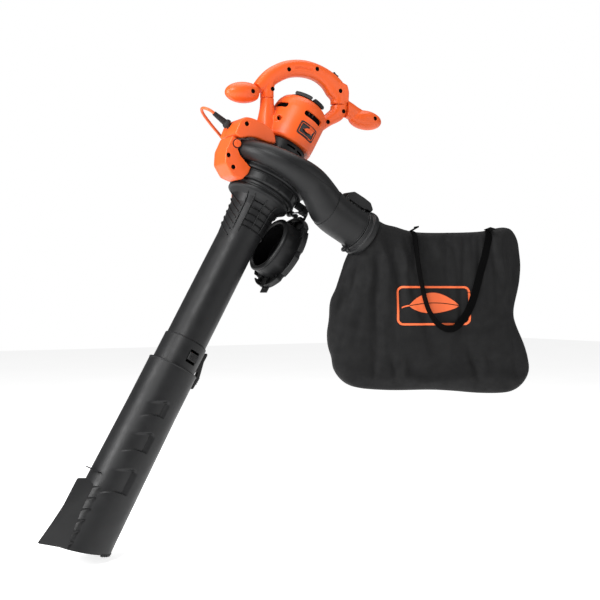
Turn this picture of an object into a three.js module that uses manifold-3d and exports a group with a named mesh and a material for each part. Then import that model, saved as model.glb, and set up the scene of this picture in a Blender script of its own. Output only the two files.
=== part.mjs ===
// Corded leaf blower and vacuum, standing as it is held in use: the vacuum tube slopes down to the
// left, the fan scroll blows into a cloth bag on the right, and the arch handle is on top.
// Millimetres, +Z up. The tool's plane of symmetry is Y = 0 and its near side is -Y.
import * as THREE from 'three';
import { mergeVertices } from 'three/addons/utils/BufferGeometryUtils.js';
import Module from 'manifold-3d';

const wasm = await Module();
wasm.setup();

// ---------------------------------------------------------------- driving dimensions
const TILT = THREE.MathUtils.degToRad(29);      // motor and tube axis, from the vertical
const GRIP_CENTRE = [108, 0, 307.6];            // middle of the arch handle, from the tube collar
const GAP = 0.3;                                // clearance between touching pieces
const WALL = 3;                                 // moulded plastic wall
const SPLIT = GAP / 2;                          // each clamshell half stops this far from Y = 0

const BARREL = { radius: 65.5, bottom: 132, top: 250 };
const NECK = { radius: 52, bottom: 86, top: 162 };
const SCROLL = { centre: 55, throat: 85, drum: 92, bottom: 24, top: 86 };
const INLET = { radius: 83, bore: 72.5, bottom: 0.6 };
const DUCT = { radius: 46, offset: -110, height: 22, start: 118, end: 228 };
const TUBE = { collar: 76, radius: 47.3, taperEnd: -130, sleeve: 50.4, sleeveTop: -388, end: -480 };
const NOZZLE = { top: -453, topRadius: 56.5, bottom: -915, bottomRadius: 62, mouthSlope: 15 };
const HANDLE = { depth: 34 };
const BAG = { depth: 112, cloth: 2.5, turn: THREE.MathUtils.degToRad(-20) };
const CORD = { diameter: 7, sides: 8, steps: 22 };
const SCREW = { head: 4, headHeight: 3, shank: 1.9, recess: 4.7, boss: 6.6, reach: 8 };

// ---------------------------------------------------------------- materials
const plastic = (colour, roughness = 0.5) =>
  new THREE.MeshStandardMaterial({ color: colour, roughness, metalness: 0 });
const metal = (colour, roughness = 0.35) =>
  new THREE.MeshStandardMaterial({ color: colour, roughness, metalness: 1 });
const orange = plastic('#f26a33', 0.45);
const black = plastic('#1f2022', 0.5);
const darkRubber = plastic('#161617', 0.8);
const cloth = plastic('#0f0f10', 0.95);
const cordSheath = plastic('#e8602c', 0.6);
const steel = metal('#9a9ca0');
const laminations = metal('#5c5e62', 0.5);
const copper = metal('#b8703a', 0.4);
const blackSteel = metal('#2a2b2d', 0.45);

// ---------------------------------------------------------------- solids
// A closed mesh as a solid for cutting and joining, with its faces turned outwards.
function solid(geometry) {
  const bare = geometry.clone();
  bare.deleteAttribute('normal');
  bare.deleteAttribute('uv');
  const merged = mergeVertices(bare, 1e-3);
  const index = merged.index.array;
  const faces = [];
  for (let i = 0; i < index.length; i += 3) {
    const [a, b, c] = [index[i], index[i + 1], index[i + 2]];
    if (a !== b && b !== c && c !== a) faces.push(a, b, c);
  }
  const points = merged.attributes.position.array;
  if (signedVolume(points, faces) < 0) faces.reverse();
  const mesh = { numProp: 3, vertProperties: new Float32Array(points), triVerts: new Uint32Array(faces) };
  return new wasm.Manifold(new wasm.Mesh(mesh));
}

function signedVolume(points, faces) {
  const corner = (i) => new THREE.Vector3().fromArray(points, 3 * i);
  let volume = 0;
  for (let i = 0; i < faces.length; i += 3) {
    const [a, b, c] = [faces[i], faces[i + 1], faces[i + 2]].map(corner);
    volume += a.dot(b.cross(c)) / 6;
  }
  return volume;
}

function part(name, body, material) {
  const { vertProperties, triVerts } = body.getMesh();
  const geometry = new THREE.BufferGeometry();
  geometry.setAttribute('position', new THREE.BufferAttribute(vertProperties, 3));
  geometry.setIndex(new THREE.BufferAttribute(triVerts, 1));
  const mesh = new THREE.Mesh(geometry, material);
  mesh.name = name;
  return mesh;
}

const union = (...bodies) => bodies.reduce((all, body) => all.add(body));
const without = (body, ...cuts) => cuts.reduce((rest, cut) => rest.subtract(cut), body);

// A box between two corners.
function box([x0, y0, z0], [x1, y1, z1]) {
  const geometry = new THREE.BoxGeometry(x1 - x0, y1 - y0, z1 - z0);
  return solid(geometry.translate((x0 + x1) / 2, (y0 + y1) / 2, (z0 + z1) / 2));
}

// A body turned about Z from [radius, height] points. The profile closes on itself.
function turned(profile, segments = 32) {
  const loop = [...profile, profile[0]].map(([r, z]) => new THREE.Vector2(r, z));
  return solid(new THREE.LatheGeometry(loop, segments).rotateX(Math.PI / 2));
}

const disc = (radius, z0, z1, segments = 32) =>
  turned([[0, z0], [radius, z0], [radius, z1], [0, z1]], segments);
const ring = (inner, outer, z0, z1, segments = 32) =>
  turned([[inner, z0], [outer, z0], [outer, z1], [inner, z1]], segments);

// Part of a ring about Z, between two angles in degrees from +X.
function sector(inner, outer, from, to, z0, z1, steps = 6) {
  const [a, b] = [from, to].map(THREE.MathUtils.degToRad);
  const shape = new THREE.Shape();
  shape.absarc(0, 0, outer, a, b, false);
  shape.absarc(0, 0, inner, b, a, true);
  const options = { depth: z1 - z0, bevelEnabled: false, curveSegments: steps };
  return solid(new THREE.ExtrudeGeometry(shape, options).translate(0, 0, z0));
}

// A plate whose outline lies in the XZ plane, centred on Y = middle, with rounded edges. `inset`
// shrinks it on every side, which makes the hollow inside it.
function plate(shape, thickness, edge, { middle = 0, inset = 0, curve = 8, rounds = 2 } = {}) {
  const options = {
    depth: thickness - 2 * edge,
    bevelEnabled: edge > 0,
    bevelThickness: edge - inset,
    bevelSize: edge - inset,
    bevelOffset: -edge,
    bevelSegments: rounds,
    curveSegments: curve,
  };
  const geometry = new THREE.ExtrudeGeometry(shape, options);
  geometry.translate(0, 0, edge - thickness / 2).rotateX(Math.PI / 2).translate(0, middle, 0);
  return solid(geometry);
}

const polygon = (points) => new THREE.Shape(points.map(([x, z]) => new THREE.Vector2(x, z)));

// A closed smooth outline through a few [x, z] points.
function smoothOutline(points, count) {
  const curve = new THREE.CatmullRomCurve3(points.map(([x, z]) => new THREE.Vector3(x, 0, z)), true);
  return curve.getSpacedPoints(count).slice(0, -1).map(({ x, z }) => [x, z]);
}

// A ball stretched to three half-lengths, tilted about Y by `tilt` degrees.
function ovoid([x, y, z], [a, b, c], tilt = 0) {
  const geometry = new THREE.SphereGeometry(1, 14, 7).rotateZ(Math.PI / 2).scale(a, b, c);
  geometry.rotateY(THREE.MathUtils.degToRad(tilt)).translate(x, y, z);
  return solid(geometry);
}

// A round pipe of changing radius through stations of { centre, radius }.
function pipe(stations, sides = 14) {
  const centres = stations.map((station) => new THREE.Vector3(...station.centre));
  const last = centres.length - 1;
  const up = new THREE.Vector3(0, 0, 1);
  return ringed(centres.map((centre, i) => {
    const along = centres[Math.min(i + 1, last)].clone().sub(centres[Math.max(i - 1, 0)]).normalize();
    const side = new THREE.Vector3().crossVectors(along, up).normalize();
    const rise = new THREE.Vector3().crossVectors(side, along);
    return Array.from({ length: sides }, (_, k) => {
      const angle = (2 * Math.PI * k) / sides;
      const spoke = side.clone().multiplyScalar(Math.cos(angle)).addScaledVector(rise, Math.sin(angle));
      return centre.clone().addScaledVector(spoke, stations[i].radius).toArray();
    });
  }));
}

// A rounded tube or flat strap swept along a smooth route.
function swept(route, section, steps) {
  const curve = new THREE.CatmullRomCurve3(route.map((point) => new THREE.Vector3(...point)));
  const options = { steps, bevelEnabled: false, extrudePath: curve, curveSegments: CORD.sides / 4 };
  return solid(new THREE.ExtrudeGeometry(section, options));
}

function circle(radius, sides) {
  const corners = Array.from({ length: sides }, (_, k) => (2 * Math.PI * k) / sides);
  return polygon(corners.map((angle) => [radius * Math.cos(angle), radius * Math.sin(angle)]));
}

// A limb in the XZ plane through stations of [x, z, half width, half depth], with a
// rounded-square section. `inset` thins it and draws its two ends in.
function limb(stations, inset = 0, sides = 10) {
  const centres = stations.map(([x, z]) => new THREE.Vector2(x, z));
  const last = centres.length - 1;
  const heading = (i) =>
    centres[Math.min(i + 1, last)].clone().sub(centres[Math.max(i - 1, 0)]).normalize();
  const rings = stations.map(([, , halfWidth, halfDepth], i) => {
    const along = heading(i);
    const centre = centres[i].clone();
    if (i === 0) centre.addScaledVector(along, inset);
    if (i === last) centre.addScaledVector(along, -inset);
    return Array.from({ length: sides }, (_, k) => {
      const angle = (2 * Math.PI * (k + 0.5)) / sides;
      const squared = (value) => Math.sign(value) * Math.abs(value) ** 0.75;
      const across = squared(Math.cos(angle)) * (halfWidth - inset);
      const out = squared(Math.sin(angle)) * (halfDepth - inset);
      return [centre.x - along.y * across, out, centre.y + along.x * across];
    });
  });
  return ringed(rings);
}

// A closed skin over rings of points, with a hub in the middle of each end.
function ringed(rings) {
  const sides = rings[0].length;
  const last = rings.length - 1;
  const hub = (points) => [0, 1, 2].map((axis) => points.reduce((sum, p) => sum + p[axis], 0) / sides);
  const points = [...rings.flat(), hub(rings[0]), hub(rings[last])].flat();
  const [firstHub, lastHub] = [rings.length * sides, rings.length * sides + 1];
  const faces = [];
  for (let k = 0; k < sides; k += 1) {
    const next = (k + 1) % sides;
    for (let i = 0; i < last; i += 1) {
      const [a, b] = [i * sides + k, i * sides + next];
      faces.push(a, b, b + sides, a, b + sides, a + sides);
    }
    faces.push(firstHub, next, k, lastHub, last * sides + k, last * sides + next);
  }
  const geometry = new THREE.BufferGeometry();
  geometry.setAttribute('position', new THREE.Float32BufferAttribute(points, 3));
  geometry.setIndex(faces);
  return solid(geometry);
}

// A stuffed cushion over an outline in the XZ plane, fullest in the middle.
function pillow(outline, depth, inset) {
  const middle = [0, 1].map((axis) => outline.reduce((sum, p) => sum + p[axis], 0) / outline.length);
  const span = Math.max(...outline.map(([x]) => Math.abs(x - middle[0])));
  const layers = [[0.5, -1], [0.85, -0.72], [1, 0], [0.85, 0.72], [0.5, 1]];
  return ringed(layers.map(([scale, rise]) => outline.map(([x, z]) => {
    const shrink = scale * (1 - inset / span);
    const height = rise * (depth / 2 - inset);
    return [middle[0] + (x - middle[0]) * shrink, height, middle[1] + (z - middle[1]) * shrink];
  })));
}

// A turned body stood along a direction from a point.
function aimed(body, point, direction) {
  const turn = new THREE.Quaternion().setFromUnitVectors(
    new THREE.Vector3(0, 0, 1), new THREE.Vector3(...direction).normalize());
  const matrix = new THREE.Matrix4().compose(
    new THREE.Vector3(...point), turn, new THREE.Vector3(1, 1, 1));
  return body.transform(matrix.elements);
}

// From the tool's own frame (Z along the motor axis) into the upright one.
const tilted = (body) => body.transform(new THREE.Matrix4().makeRotationY(TILT).elements);

// ---------------------------------------------------------------- clamshells and their screws
// Each screw is { name, at: [x, z], face }, where face is how far its mouth is from Y = 0.
const yBore = (radius, [x, z], y0, y1, sides = 6) =>
  aimed(disc(radius, 0, y1 - y0, sides), [x, y0, z], [0, 1, 0]);

function clamshell(outer, inner, screws) {
  const screwHead = (screw) => -screw.face + 4;
  let shell = outer.subtract(inner);
  for (const screw of screws) {
    const post = yBore(SCREW.boss, screw.at, -screw.face - 10, screw.face + 10);
    shell = shell.add(post.intersect(outer));
  }
  for (const screw of screws) {
    const seat = screwHead(screw) + SCREW.headHeight + GAP;
    shell = shell.subtract(yBore(SCREW.recess, screw.at, -screw.face - 12, seat));
    shell = shell.subtract(yBore(SCREW.shank + GAP, screw.at, seat - 1, SCREW.reach + 1));
  }
  const near = shell.intersect(box([-900, -400, -900], [900, -SPLIT, 900]));
  const far = shell.intersect(box([-900, SPLIT, -900], [900, 400, 900]));
  const fasteners = screws.map((screw) => {
    const y = screwHead(screw);
    const length = SCREW.reach - y;
    const profile = [[0, 0], [SCREW.head, 0], [SCREW.head, SCREW.headHeight],
      [SCREW.shank, SCREW.headHeight], [SCREW.shank, length], [0, length]];
    const body = aimed(turned(profile, 6), [screw.at[0], y, screw.at[1]], [0, 1, 0]);
    return part(`screw_${screw.name}`, body, blackSteel);
  });
  return { near, far, fasteners };
}

// ---------------------------------------------------------------- arch handle
const HALF = HANDLE.depth / 2;
const ARCH = [[-8, 248, 13, HALF - 2], [12, 264, 19, HALF], [37, 284, 20.5, HALF], [72, 301, 20.5, HALF],
  [113, 307.5, 20.5, HALF], [152, 302.5, 20.5, HALF], [184, 288, 23, HALF], [207, 267, 27, HALF],
  [217, 247, 21.5, HALF], [217, 230, 20, HALF]];
const BAIL_LEG = [[18, 227, 14.5, HALF], [18, 245, 14.5, HALF], [22, 268, 15, HALF]];

const bailBody = (inset, sides = 10) => union(limb(ARCH, inset, sides), limb(BAIL_LEG, inset, sides));

function bailHandle() {
  const { near, far, fasteners } = clamshell(bailBody(0), bailBody(WALL, 8), [
    { name: 'bail_left', at: [25, 247], face: HALF },
    { name: 'bail_top_left', at: [69, 298], face: HALF },
    { name: 'bail_top_right', at: [147, 308], face: HALF },
    { name: 'bail_right', at: [213, 262], face: HALF },
  ]);
  return [part('bail_handle_near', near, orange), part('bail_handle_far', far, orange), ...fasteners];
}

function leftGrip() {
  const centre = [-45, 0, 234];
  const tilt = -4;
  const bailSide = box([-10, -60, 150], [60, 60, 300]);
  const outer = ovoid(centre, [46, 25, 24.5], tilt).subtract(bailSide);
  const inner = ovoid(centre, [43, 22, 21.5], tilt);
  const screws = [{ name: 'left_grip', at: [-30, 235], face: 23 }];
  const { near, far, fasteners } = clamshell(outer, inner, screws);
  return [part('left_grip_near', near, orange), part('left_grip_far', far, orange), ...fasteners];
}

function rightGrip() {
  const arm = [[235, 223, 21, 15], [258, 215, 19, 15], [290, 202, 18, 14]];
  const block = box([150, -60, 150], [236.7, 60, 300]);
  const outer = union(ovoid([294, 0, 200], [47, 24, 24], 3), limb(arm)).subtract(bailBody(-GAP));
  const inner = union(ovoid([294, 0, 200], [44, 21, 21], 3), limb(arm, WALL));
  const screws = [{ name: 'right_grip', at: [312, 203], face: 21 }];
  const { near, far, fasteners } = clamshell(outer.subtract(block), inner, screws);
  return [part('right_grip_near', near, orange), part('right_grip_far', far, orange), ...fasteners];
}

// ---------------------------------------------------------------- motor housing
function barrel(inset) {
  const r = BARREL.radius - inset;
  const floor = BARREL.bottom + inset;
  const roof = BARREL.top - inset;
  const profile = [[0, floor], [r - 4, floor], [r - 1, floor + 5], [r, floor + 28], [r, 216],
    [r - 3, 232 - inset], [r - 10, 244 - inset], [r - 20, roof], [0, roof]];
  return turned(profile, 22);
}

// The body between the barrel and the cord gland, lying over the left of the scroll.
const rearShape = () => polygon([[-142, 66], [-141, 98], [-130, 116], [-112, 125], [-90, 128],
  [-66, 128], [-52, 118], [-42, 104], [-66, 94], [-94, 88], [-112, 78], [-124, 66]]);
const REAR = { thickness: 84, middle: -13, edge: 10 };

function housing() {
  const leftLeg = [[18, 226.7, 14.5, HALF], [18, 205, 16, HALF], [17, 180, 20, HALF], [15, 156, 23, HALF],
    [11, 130, 26, HALF]];
  const rightStrut = [[217, 229.7, 20, HALF], [217, 222, 20, HALF], [210, 207, 18.5, HALF],
    [182, 188, 14.5, HALF], [150, 166, 14, HALF]];
  const outer = union(
    tilted(barrel(0)),
    tilted(plate(rearShape(), REAR.thickness, REAR.edge, { middle: REAR.middle })),
    limb(leftLeg),
    limb(rightStrut),
  );
  const inner = union(
    tilted(barrel(WALL)),
    tilted(plate(rearShape(), REAR.thickness, REAR.edge, { middle: REAR.middle, inset: WALL, rounds: 1 })),
    limb(leftLeg, WALL, 8),
    limb(rightStrut, WALL, 8),
  );
  const slots = [
    tilted(sector(52, 72, 143, 217, 203, 214, 4)),
    tilted(sector(52, 72, -107, -58, 204, 213, 3)),
    tilted(sector(52, 72, 58, 107, 204, 213, 3)),
  ];
  const vent = tilted(disc(40, 240, 265, 18));
  const neckHole = tilted(disc(NECK.radius + GAP + 0.2, 80, 140, 24));
  const glandHole = aimed(disc(8.4, -20, 40, 8), GLAND.root, GLAND.direction);
  const cuts = [vent, neckHole, glandHole, scrollEnvelope(), ...slots];
  const { near, far, fasteners } = clamshell(without(outer, ...cuts), union(inner, ...cuts), [
    { name: 'right_leg', at: [222, 213], face: 17 },
    { name: 'strut', at: [177, 183], face: 17 },
    { name: 'left_leg', at: [33, 177], face: 27 },
    { name: 'rear_body', at: [-62, 152], face: 54 },
  ]);
  return [part('motor_housing_near', near, orange), part('motor_housing_far', far, orange), ...fasteners];
}

function ventCap() {
  let cap = turned([[0, 244], [39.6, 244], [39.6, 250.4], [46, 250.4], [50, 248.4], [52, 250], [51, 256],
    [47, 258], [0, 258]], 18);
  for (const angle of [0, 60, 120]) {
    const slot = box([-30, -2.5, 240], [30, 2.5, 262]);
    cap = cap.subtract(slot.rotate([0, 0, angle]).subtract(disc(8, 230, 270, 8)));
  }
  return part('rear_vent_cap', cap.add(ring(11.5, 15, 236, 246, 12)), black);
}

const badge = () =>
  part('badge_plate', sector(BARREL.radius + GAP, BARREL.radius + 1.8, -104, -60, 155, 187, 8), darkRubber);

function motorMount() {
  const { radius, bottom, top } = NECK;
  const profile = [[11.3, bottom - 2.7], [79, bottom - 2.7], [79, bottom], [radius + 6, bottom + 1],
    [radius, bottom + 9], [radius, top], [radius - WALL, top], [radius - WALL, bottom + 8],
    [radius - 8, bottom + 3], [16, bottom + 1], [16, bottom + 10], [11.3, bottom + 10]];
  let body = turned(profile, 20);
  for (const angle of [-125, -95, -65]) {
    body = body.subtract(sector(45, 60, angle, angle + 18, 113, 123, 1));
  }
  return part('motor_mount', body, black);
}

// ---------------------------------------------------------------- control pod below the gland
const podShape = () => polygon([[-145, 61], [-143, 24], [-130, -4], [-102, -19], [-76, -14], [-69, 8],
  [-71, 34], [-98, 38], [-117, 45], [-130, 61]]);
const POD = { thickness: 64, middle: -20, edge: 8 };

function pod() {
  const middle = POD.middle;
  const outer = tilted(plate(podShape(), POD.thickness, POD.edge, { middle })).subtract(podCuts());
  const inner = tilted(plate(podShape(), POD.thickness, POD.edge, { middle, inset: WALL, rounds: 1 }));
  const { near, far, fasteners } = clamshell(outer, union(inner, podCuts()), [
    { name: 'pod_upper', at: [-107, 78], face: 52 },
    { name: 'pod_lower', at: [-95, 52], face: 52 },
  ]);
  return [part('control_pod_near', near, orange), part('control_pod_far', far, orange), ...fasteners];
}

const podCuts = () => union(scrollEnvelope(), tilted(disc(TUBE.collar + 2, -40, 1)));

function speedDial() {
  const wheel = vBore([-127, 50], 9, -58, -52 - GAP, 16);
  return part('speed_dial', tilted(wheel), orange);
}

const switchBlock = () =>
  part('switch_block', tilted(box([-124, -32, 8], [-108, -12, 24])), darkRubber);

// ---------------------------------------------------------------- cord, gland and plug
const GLAND = { root: [-82, 0, 154.6], direction: [-0.835, 0, 0.55], length: 45 };
GLAND.tip = GLAND.root.map((value, i) => value + GLAND.direction[i] * GLAND.length);

// From the gland tip round one loose loop to the far side, then down behind the scroll to the plug.
const CORD_ROUTE = [
  GLAND.tip.map((value, i) => value + GLAND.direction[i] * GAP),
  [-126, 1, 184], [-132.5, 5, 188], [-137, 14, 191.5], [-137.5, 25, 192.5], [-133, 37, 190],
  [-123, 48, 183], [-108, 57, 172], [-90, 64.5, 158], [-72, 71, 144.5], [-54, 82, 131],
  [-38, 97, 115], [-25, 111, 94], [-17, 120, 70], [-12, 124, 42], [-10, 125, 14], [-10, 125, -14],
];
const PLUG_TOP = [-10, 125, -14.3];

function gland() {
  const { root, direction, length } = GLAND;
  const profile = [[4, -6], [7.6, -6], [7.6, 4], [11, 4], [11, 8], [7.4, 9], [6.7, 21], [5.9, 33],
    [5.2, length], [4, length]];
  return part('cable_gland', aimed(turned(profile, 12), root, direction), darkRubber);
}

const cord = () =>
  part('power_cord', swept(CORD_ROUTE, circle(CORD.diameter / 2, CORD.sides), CORD.steps), cordSheath);

function plug() {
  const grip = turned([[0, 0], [6, 0], [7, -14], [18, -22], [19, -40], [0, -40]], 16);
  const pins = [-9.5, 9.5].map((x) => disc(2.4, -59, -39, 8).translate([x, 0, 0]));
  return part('mains_plug', union(grip, ...pins).translate(PLUG_TOP), darkRubber);
}

// The push switch on the outer right of the arch, above the fingers.
function powerSwitch() {
  const button = plate(polygon([[-9, 0], [9, 0], [7, 6], [-7, 6]]), 12, 1.5);
  return part('power_switch', aimedInPlane(button, [204.9, 300.6], 37), black);
}

// Stood on a slope in the XZ plane, turned clockwise by `angle` degrees.
const aimedInPlane = (body, [x, z], angle) => body.rotate([0, angle, 0]).translate([x, 0, z]);

// ---------------------------------------------------------------- scroll and outlet
// The flow runs round the motor axis from the cut-water to the near side, where it leaves.
const VOLUTE = { start: -40, sweep: 325, firstRadius: 9 };

function voluteStation(share, inset) {
  const angle = THREE.MathUtils.degToRad(VOLUTE.start + VOLUTE.sweep * share);
  const radius = VOLUTE.firstRadius + 16 * share + 10 * share ** 8;
  const reach = SCROLL.throat + radius;
  return {
    centre: [reach * Math.cos(angle), reach * Math.sin(angle), SCROLL.centre],
    radius: radius - inset,
  };
}

// From the end of the volute down into the straight outlet.
const exitStations = (inset) => [
  { centre: [60, -113, 51.5], radius: 38 - inset },
  { centre: [90, -111.5, 40], radius: 41.5 - inset },
  { centre: [DUCT.start, DUCT.offset, 27], radius: 44.6 - inset },
  { centre: [DUCT.start + 8, DUCT.offset, 25], radius: 45 - inset },
];

function scrollBody(inset) {
  const turns = 13;
  const ramp = Array.from({ length: turns + 1 }, (_, i) => voluteStation(i / turns, inset));
  const drum = disc(SCROLL.drum - inset, SCROLL.bottom + inset, SCROLL.top - inset, 24);
  return union(pipe([...ramp, ...exitStations(inset)], 10), drum);
}

// The room that the scroll, its inlet neck and a little air take, for cutting what wraps its left.
const scrollEnvelope = () => tilted(turned([[0, -1], [84.5, -1], [84.5, 22], [94, 22.5], [108, 27.5],
  [119, 31], [129.5, 40], [134, 54], [131, 67.5], [121, 79], [107, 82.5], [94, 89.5], [0, 89.5]], 24));

function scroll() {
  const throatSlot = ring(SCROLL.throat - 10, SCROLL.throat + 9, SCROLL.centre - 5, SCROLL.centre + 5, 24);
  const hollow = union(
    scrollBody(WALL),
    throatSlot,
    disc(INLET.bore, -5, SCROLL.bottom + 10, 24),
    disc(79.4, SCROLL.top - 8, SCROLL.top + 8, 20),
  );
  const neck = turned([[0, INLET.bottom], [INLET.radius - 3, INLET.bottom], [INLET.radius, 4],
    [INLET.radius, SCROLL.bottom + 2], [0, SCROLL.bottom + 2]], 24);
  const lugs = [-40, 27].map((v) => box([78, v, 8], [HINGE.u, v + 9, 27]).add(hingeEye(v, 9, 7)));
  const whole = union(scrollBody(0), neck, ...lugs)
    .subtract(hollow)
    .subtract(hingeBore(HINGE.pin + GAP));
  const upper = whole.intersect(box([-400, -400, SCROLL.centre + SPLIT], [DUCT.start, 400, 300]));
  const lower = whole.intersect(box([-400, -400, -300], [DUCT.start, 400, SCROLL.centre - SPLIT]));
  return [part('scroll_upper', upper, black), part('scroll_lower', lower, black)];
}

function outletDuct() {
  const { start, end, offset, height, radius } = DUCT;
  const from = { centre: [start - 6, offset, 28], radius: 46.6 };
  const middle = { centre: [start + 34, offset, height], radius: radius + 0.6 };
  const to = { centre: [end, offset, height], radius };
  const narrowed = (station, inset) => ({ ...station, radius: station.radius - inset });
  const before = { centre: [start - 16, offset, 30], radius: 42 };
  const after = { centre: [end + 10, offset, height], radius: radius - WALL };
  const bore = [before, narrowed(from, WALL + 2), narrowed(middle, WALL), narrowed(to, WALL), after];
  const latchSeats = [-12, 7].map((dv) =>
    box([146.5, offset + dv, 66], [157.5, offset + dv + 5, 78]));
  const body = union(pipe([from, middle, to], 20), ...latchSeats)
    .subtract(pipe(bore, 20))
    .subtract(box([0, -300, -100], [start + GAP, 0, 150]))
    .subtract(vBore(LATCH_PIVOT, 2, offset - 20, offset + 20));
  return part('outlet_duct', body, black);
}

// A bore along Y at [u, w] in the tool's frame.
const vBore = ([u, w], radius, v0, v1, sides = 10) =>
  aimed(disc(radius, 0, v1 - v0, sides), [u, v0, w], [0, 1, 0]);

// ---------------------------------------------------------------- bag collar and its release lever
const LATCH_PIVOT = [152, 74.5];

function bagCollar() {
  const { end, offset, height, radius } = DUCT;
  const inner = radius + 1;
  const profile = [[inner, -18], [inner + 4, -18], [inner + 4, -6], [inner + 9, -4], [inner + 9, 8],
    [inner - 4, 9], [inner - 4, GAP], [inner, GAP]];
  const body = aimed(turned(profile, 20), [end, offset, height], [1, 0, 0]);
  const hook = box([end - 26, offset - 4, height - 54], [end - 8, offset + 4, height - radius - 2])
    .subtract(box([end - 20, offset - 6, height - 52], [end - 13, offset + 6, height - 49]));
  return part('bag_collar', union(body, hook), black);
}

function bagReleaseLever() {
  const side = polygon([[146, 72], [145, 83], [160, 95], [190, 96], [212, 95], [225, 84], [222, 75],
    [207, 75], [205, 70.5], [160, 70.5]]);
  const body = plate(side, 26, 3, { middle: DUCT.offset })
    .subtract(vBore(LATCH_PIVOT, 2.4, DUCT.offset - 20, DUCT.offset + 20))
    .subtract(box([140, DUCT.offset - 12.4, 60], [160.5, DUCT.offset - 6.6, 81]))
    .subtract(box([140, DUCT.offset + 6.6, 60], [160.5, DUCT.offset + 12.4, 81]));
  return part('bag_release_lever', body, black);
}

const latchPin = () =>
  part('bag_lever_pin', vBore(LATCH_PIVOT, 1.7, DUCT.offset - 12.5, DUCT.offset + 12.5, 8), steel);

// ---------------------------------------------------------------- inlet cover, swung open
const HINGE = { u: 104, w: 12, pin: 2.5 };
const COVER = { radius: 94, ring: 69, height: 44, top: -1, swing: THREE.MathUtils.degToRad(-90) };

const hingeEye = (v, width, radius) => vBore([HINGE.u, HINGE.w], radius, v, v + width, 12);
const hingeBore = (radius) => vBore([HINGE.u, HINGE.w], radius, -80, 80, 10);

// The cover is drawn shut under the inlet, facing up, with its hinge on the right.
function inletCover() {
  const { radius, ring: skirtRadius, height, top } = COVER;
  let lid = ring(skirtRadius - 4.5, radius, top - 3.5, top, 24);
  for (let i = 0; i < 7; i += 1) {
    const angle = THREE.MathUtils.degToRad(50 + 43 * i);
    const reach = radius + 4;
    lid = lid.subtract(disc(9, -30, 0, 6).translate([reach * Math.cos(angle), reach * Math.sin(angle), 0]));
  }
  const skirt = turned([[skirtRadius - 5, top - 2], [skirtRadius, top - 2], [skirtRadius - 1, height],
    [skirtRadius - 4, height]], 24);
  const dish = turned([[0, top + 7], [skirtRadius - 20, top + 7], [skirtRadius - 4, top - 0.5],
    [skirtRadius - 4, top - 3.5], [skirtRadius - 20, top + 3.5], [0, top + 3.5]], 24);
  const lug = box([-107, -17, top - 3.5], [-86, 17, top])
    .subtract(disc(4, -20, 5, 6).translate([-99, 0, 0]));
  const knuckles = [-29.5, 16.5].map((v) =>
    box([78, v, top - 3.5], [HINGE.u + 5, v + 9, top]).add(
      box([HINGE.u - 5, v, top - 3.5], [HINGE.u + 5, v + 9, HINGE.w])).add(hingeEye(v, 9, 6)));
  const shut = union(lid, skirt, dish, lug, ...knuckles).subtract(hingeBore(HINGE.pin + GAP));
  const swing = new THREE.Matrix4().makeTranslation(HINGE.u, 0, HINGE.w)
    .multiply(new THREE.Matrix4().makeRotationY(COVER.swing))
    .multiply(new THREE.Matrix4().makeTranslation(-HINGE.u, 0, -HINGE.w));
  return part('inlet_cover', shut.transform(swing.elements), black);
}

const coverPin = () =>
  part('inlet_cover_pin', vBore([HINGE.u, HINGE.w], HINGE.pin, -41, 37, 8), steel);

// ---------------------------------------------------------------- vacuum tubes
function upperTube() {
  const { collar, radius, taperEnd, sleeve, sleeveTop, end } = TUBE;
  const socket = NOZZLE.topRadius - WALL - GAP - 1.5;
  const profile = [
    [collar - 11, 0], [collar, 0], [collar, -6], [collar - 3, -7], [collar - 3, -17], [collar - 17, -30],
    [53, -48], [50, -90],
    [radius, taperEnd], [radius, sleeveTop], [sleeve, sleeveTop - 3],
    [sleeve, NOZZLE.top + 1], [socket, NOZZLE.top - 3], [socket, end],
    [socket - WALL, end], [radius - WALL, sleeveTop], [radius - WALL, taperEnd],
    [49, -48], [collar - 20, -30],
  ];
  let body = turned(profile, 22);
  for (const [w, reach] of [[-42, 64], [-55, 61], [-68, 58]]) {
    body = body.add(sector(49.5, reach, -95, 55, w - 1.5, w + 1.5, 3));
  }
  for (const angle of [155, 185, 215]) {
    const fin = plate(polygon([[47, -112], [49.5, -110], [60, -30], [62, -18], [50, -45]]), 3, 0);
    body = body.add(fin.rotate([0, 0, angle]));
  }
  const slider = box([-14, -60, -437], [14, -socket + 1, -407]).rotate([0, 0, SLIDER_TURN]);
  const latchSlot = box([44, -7, -440], [60, 7, -386]);
  body = body.subtract(slider).subtract(latchSlot);
  return part('vac_tube_upper', body, black);
}

const SLIDER_TURN = 15;

function lowerTube() {
  const { top, topRadius, bottom, bottomRadius, mouthSlope } = NOZZLE;
  const profile = [[topRadius - 1.5, top], [topRadius, top - 3], [topRadius + 0.8, -560],
    [bottomRadius, bottom], [bottomRadius - WALL, bottom], [topRadius + 0.8 - WALL, -560],
    [topRadius - WALL, top - 4], [topRadius - WALL + 0.5, top]];
  const tube = turned(profile, 24);
  const cut = box([-200, -200, -200], [200, 200, 0])
    .rotate([0, -mouthSlope + 0.5, 0]).translate([0, 0, -888]);
  const stop = sector(50, 71, 165, 215, -732, -729.5, 5);
  return part('vac_tube_lower', tube.subtract(cut).add(stop), black);
}

// The ribbed slide that locks the two tubes together.
function tubeLock() {
  const socket = NOZZLE.topRadius - WALL - GAP - 1.5;
  let body = box([-13.5, -53.5, -431], [13.5, -socket - 0.4, -413]);
  for (let i = 0; i < 5; i += 1) {
    const w = -429 + 3.4 * i;
    body = body.add(box([-11, -55, w], [11, -53, w + 1.6]));
  }
  return part('tube_lock_slide', body.rotate([0, 0, SLIDER_TURN]), darkRubber);
}

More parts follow.
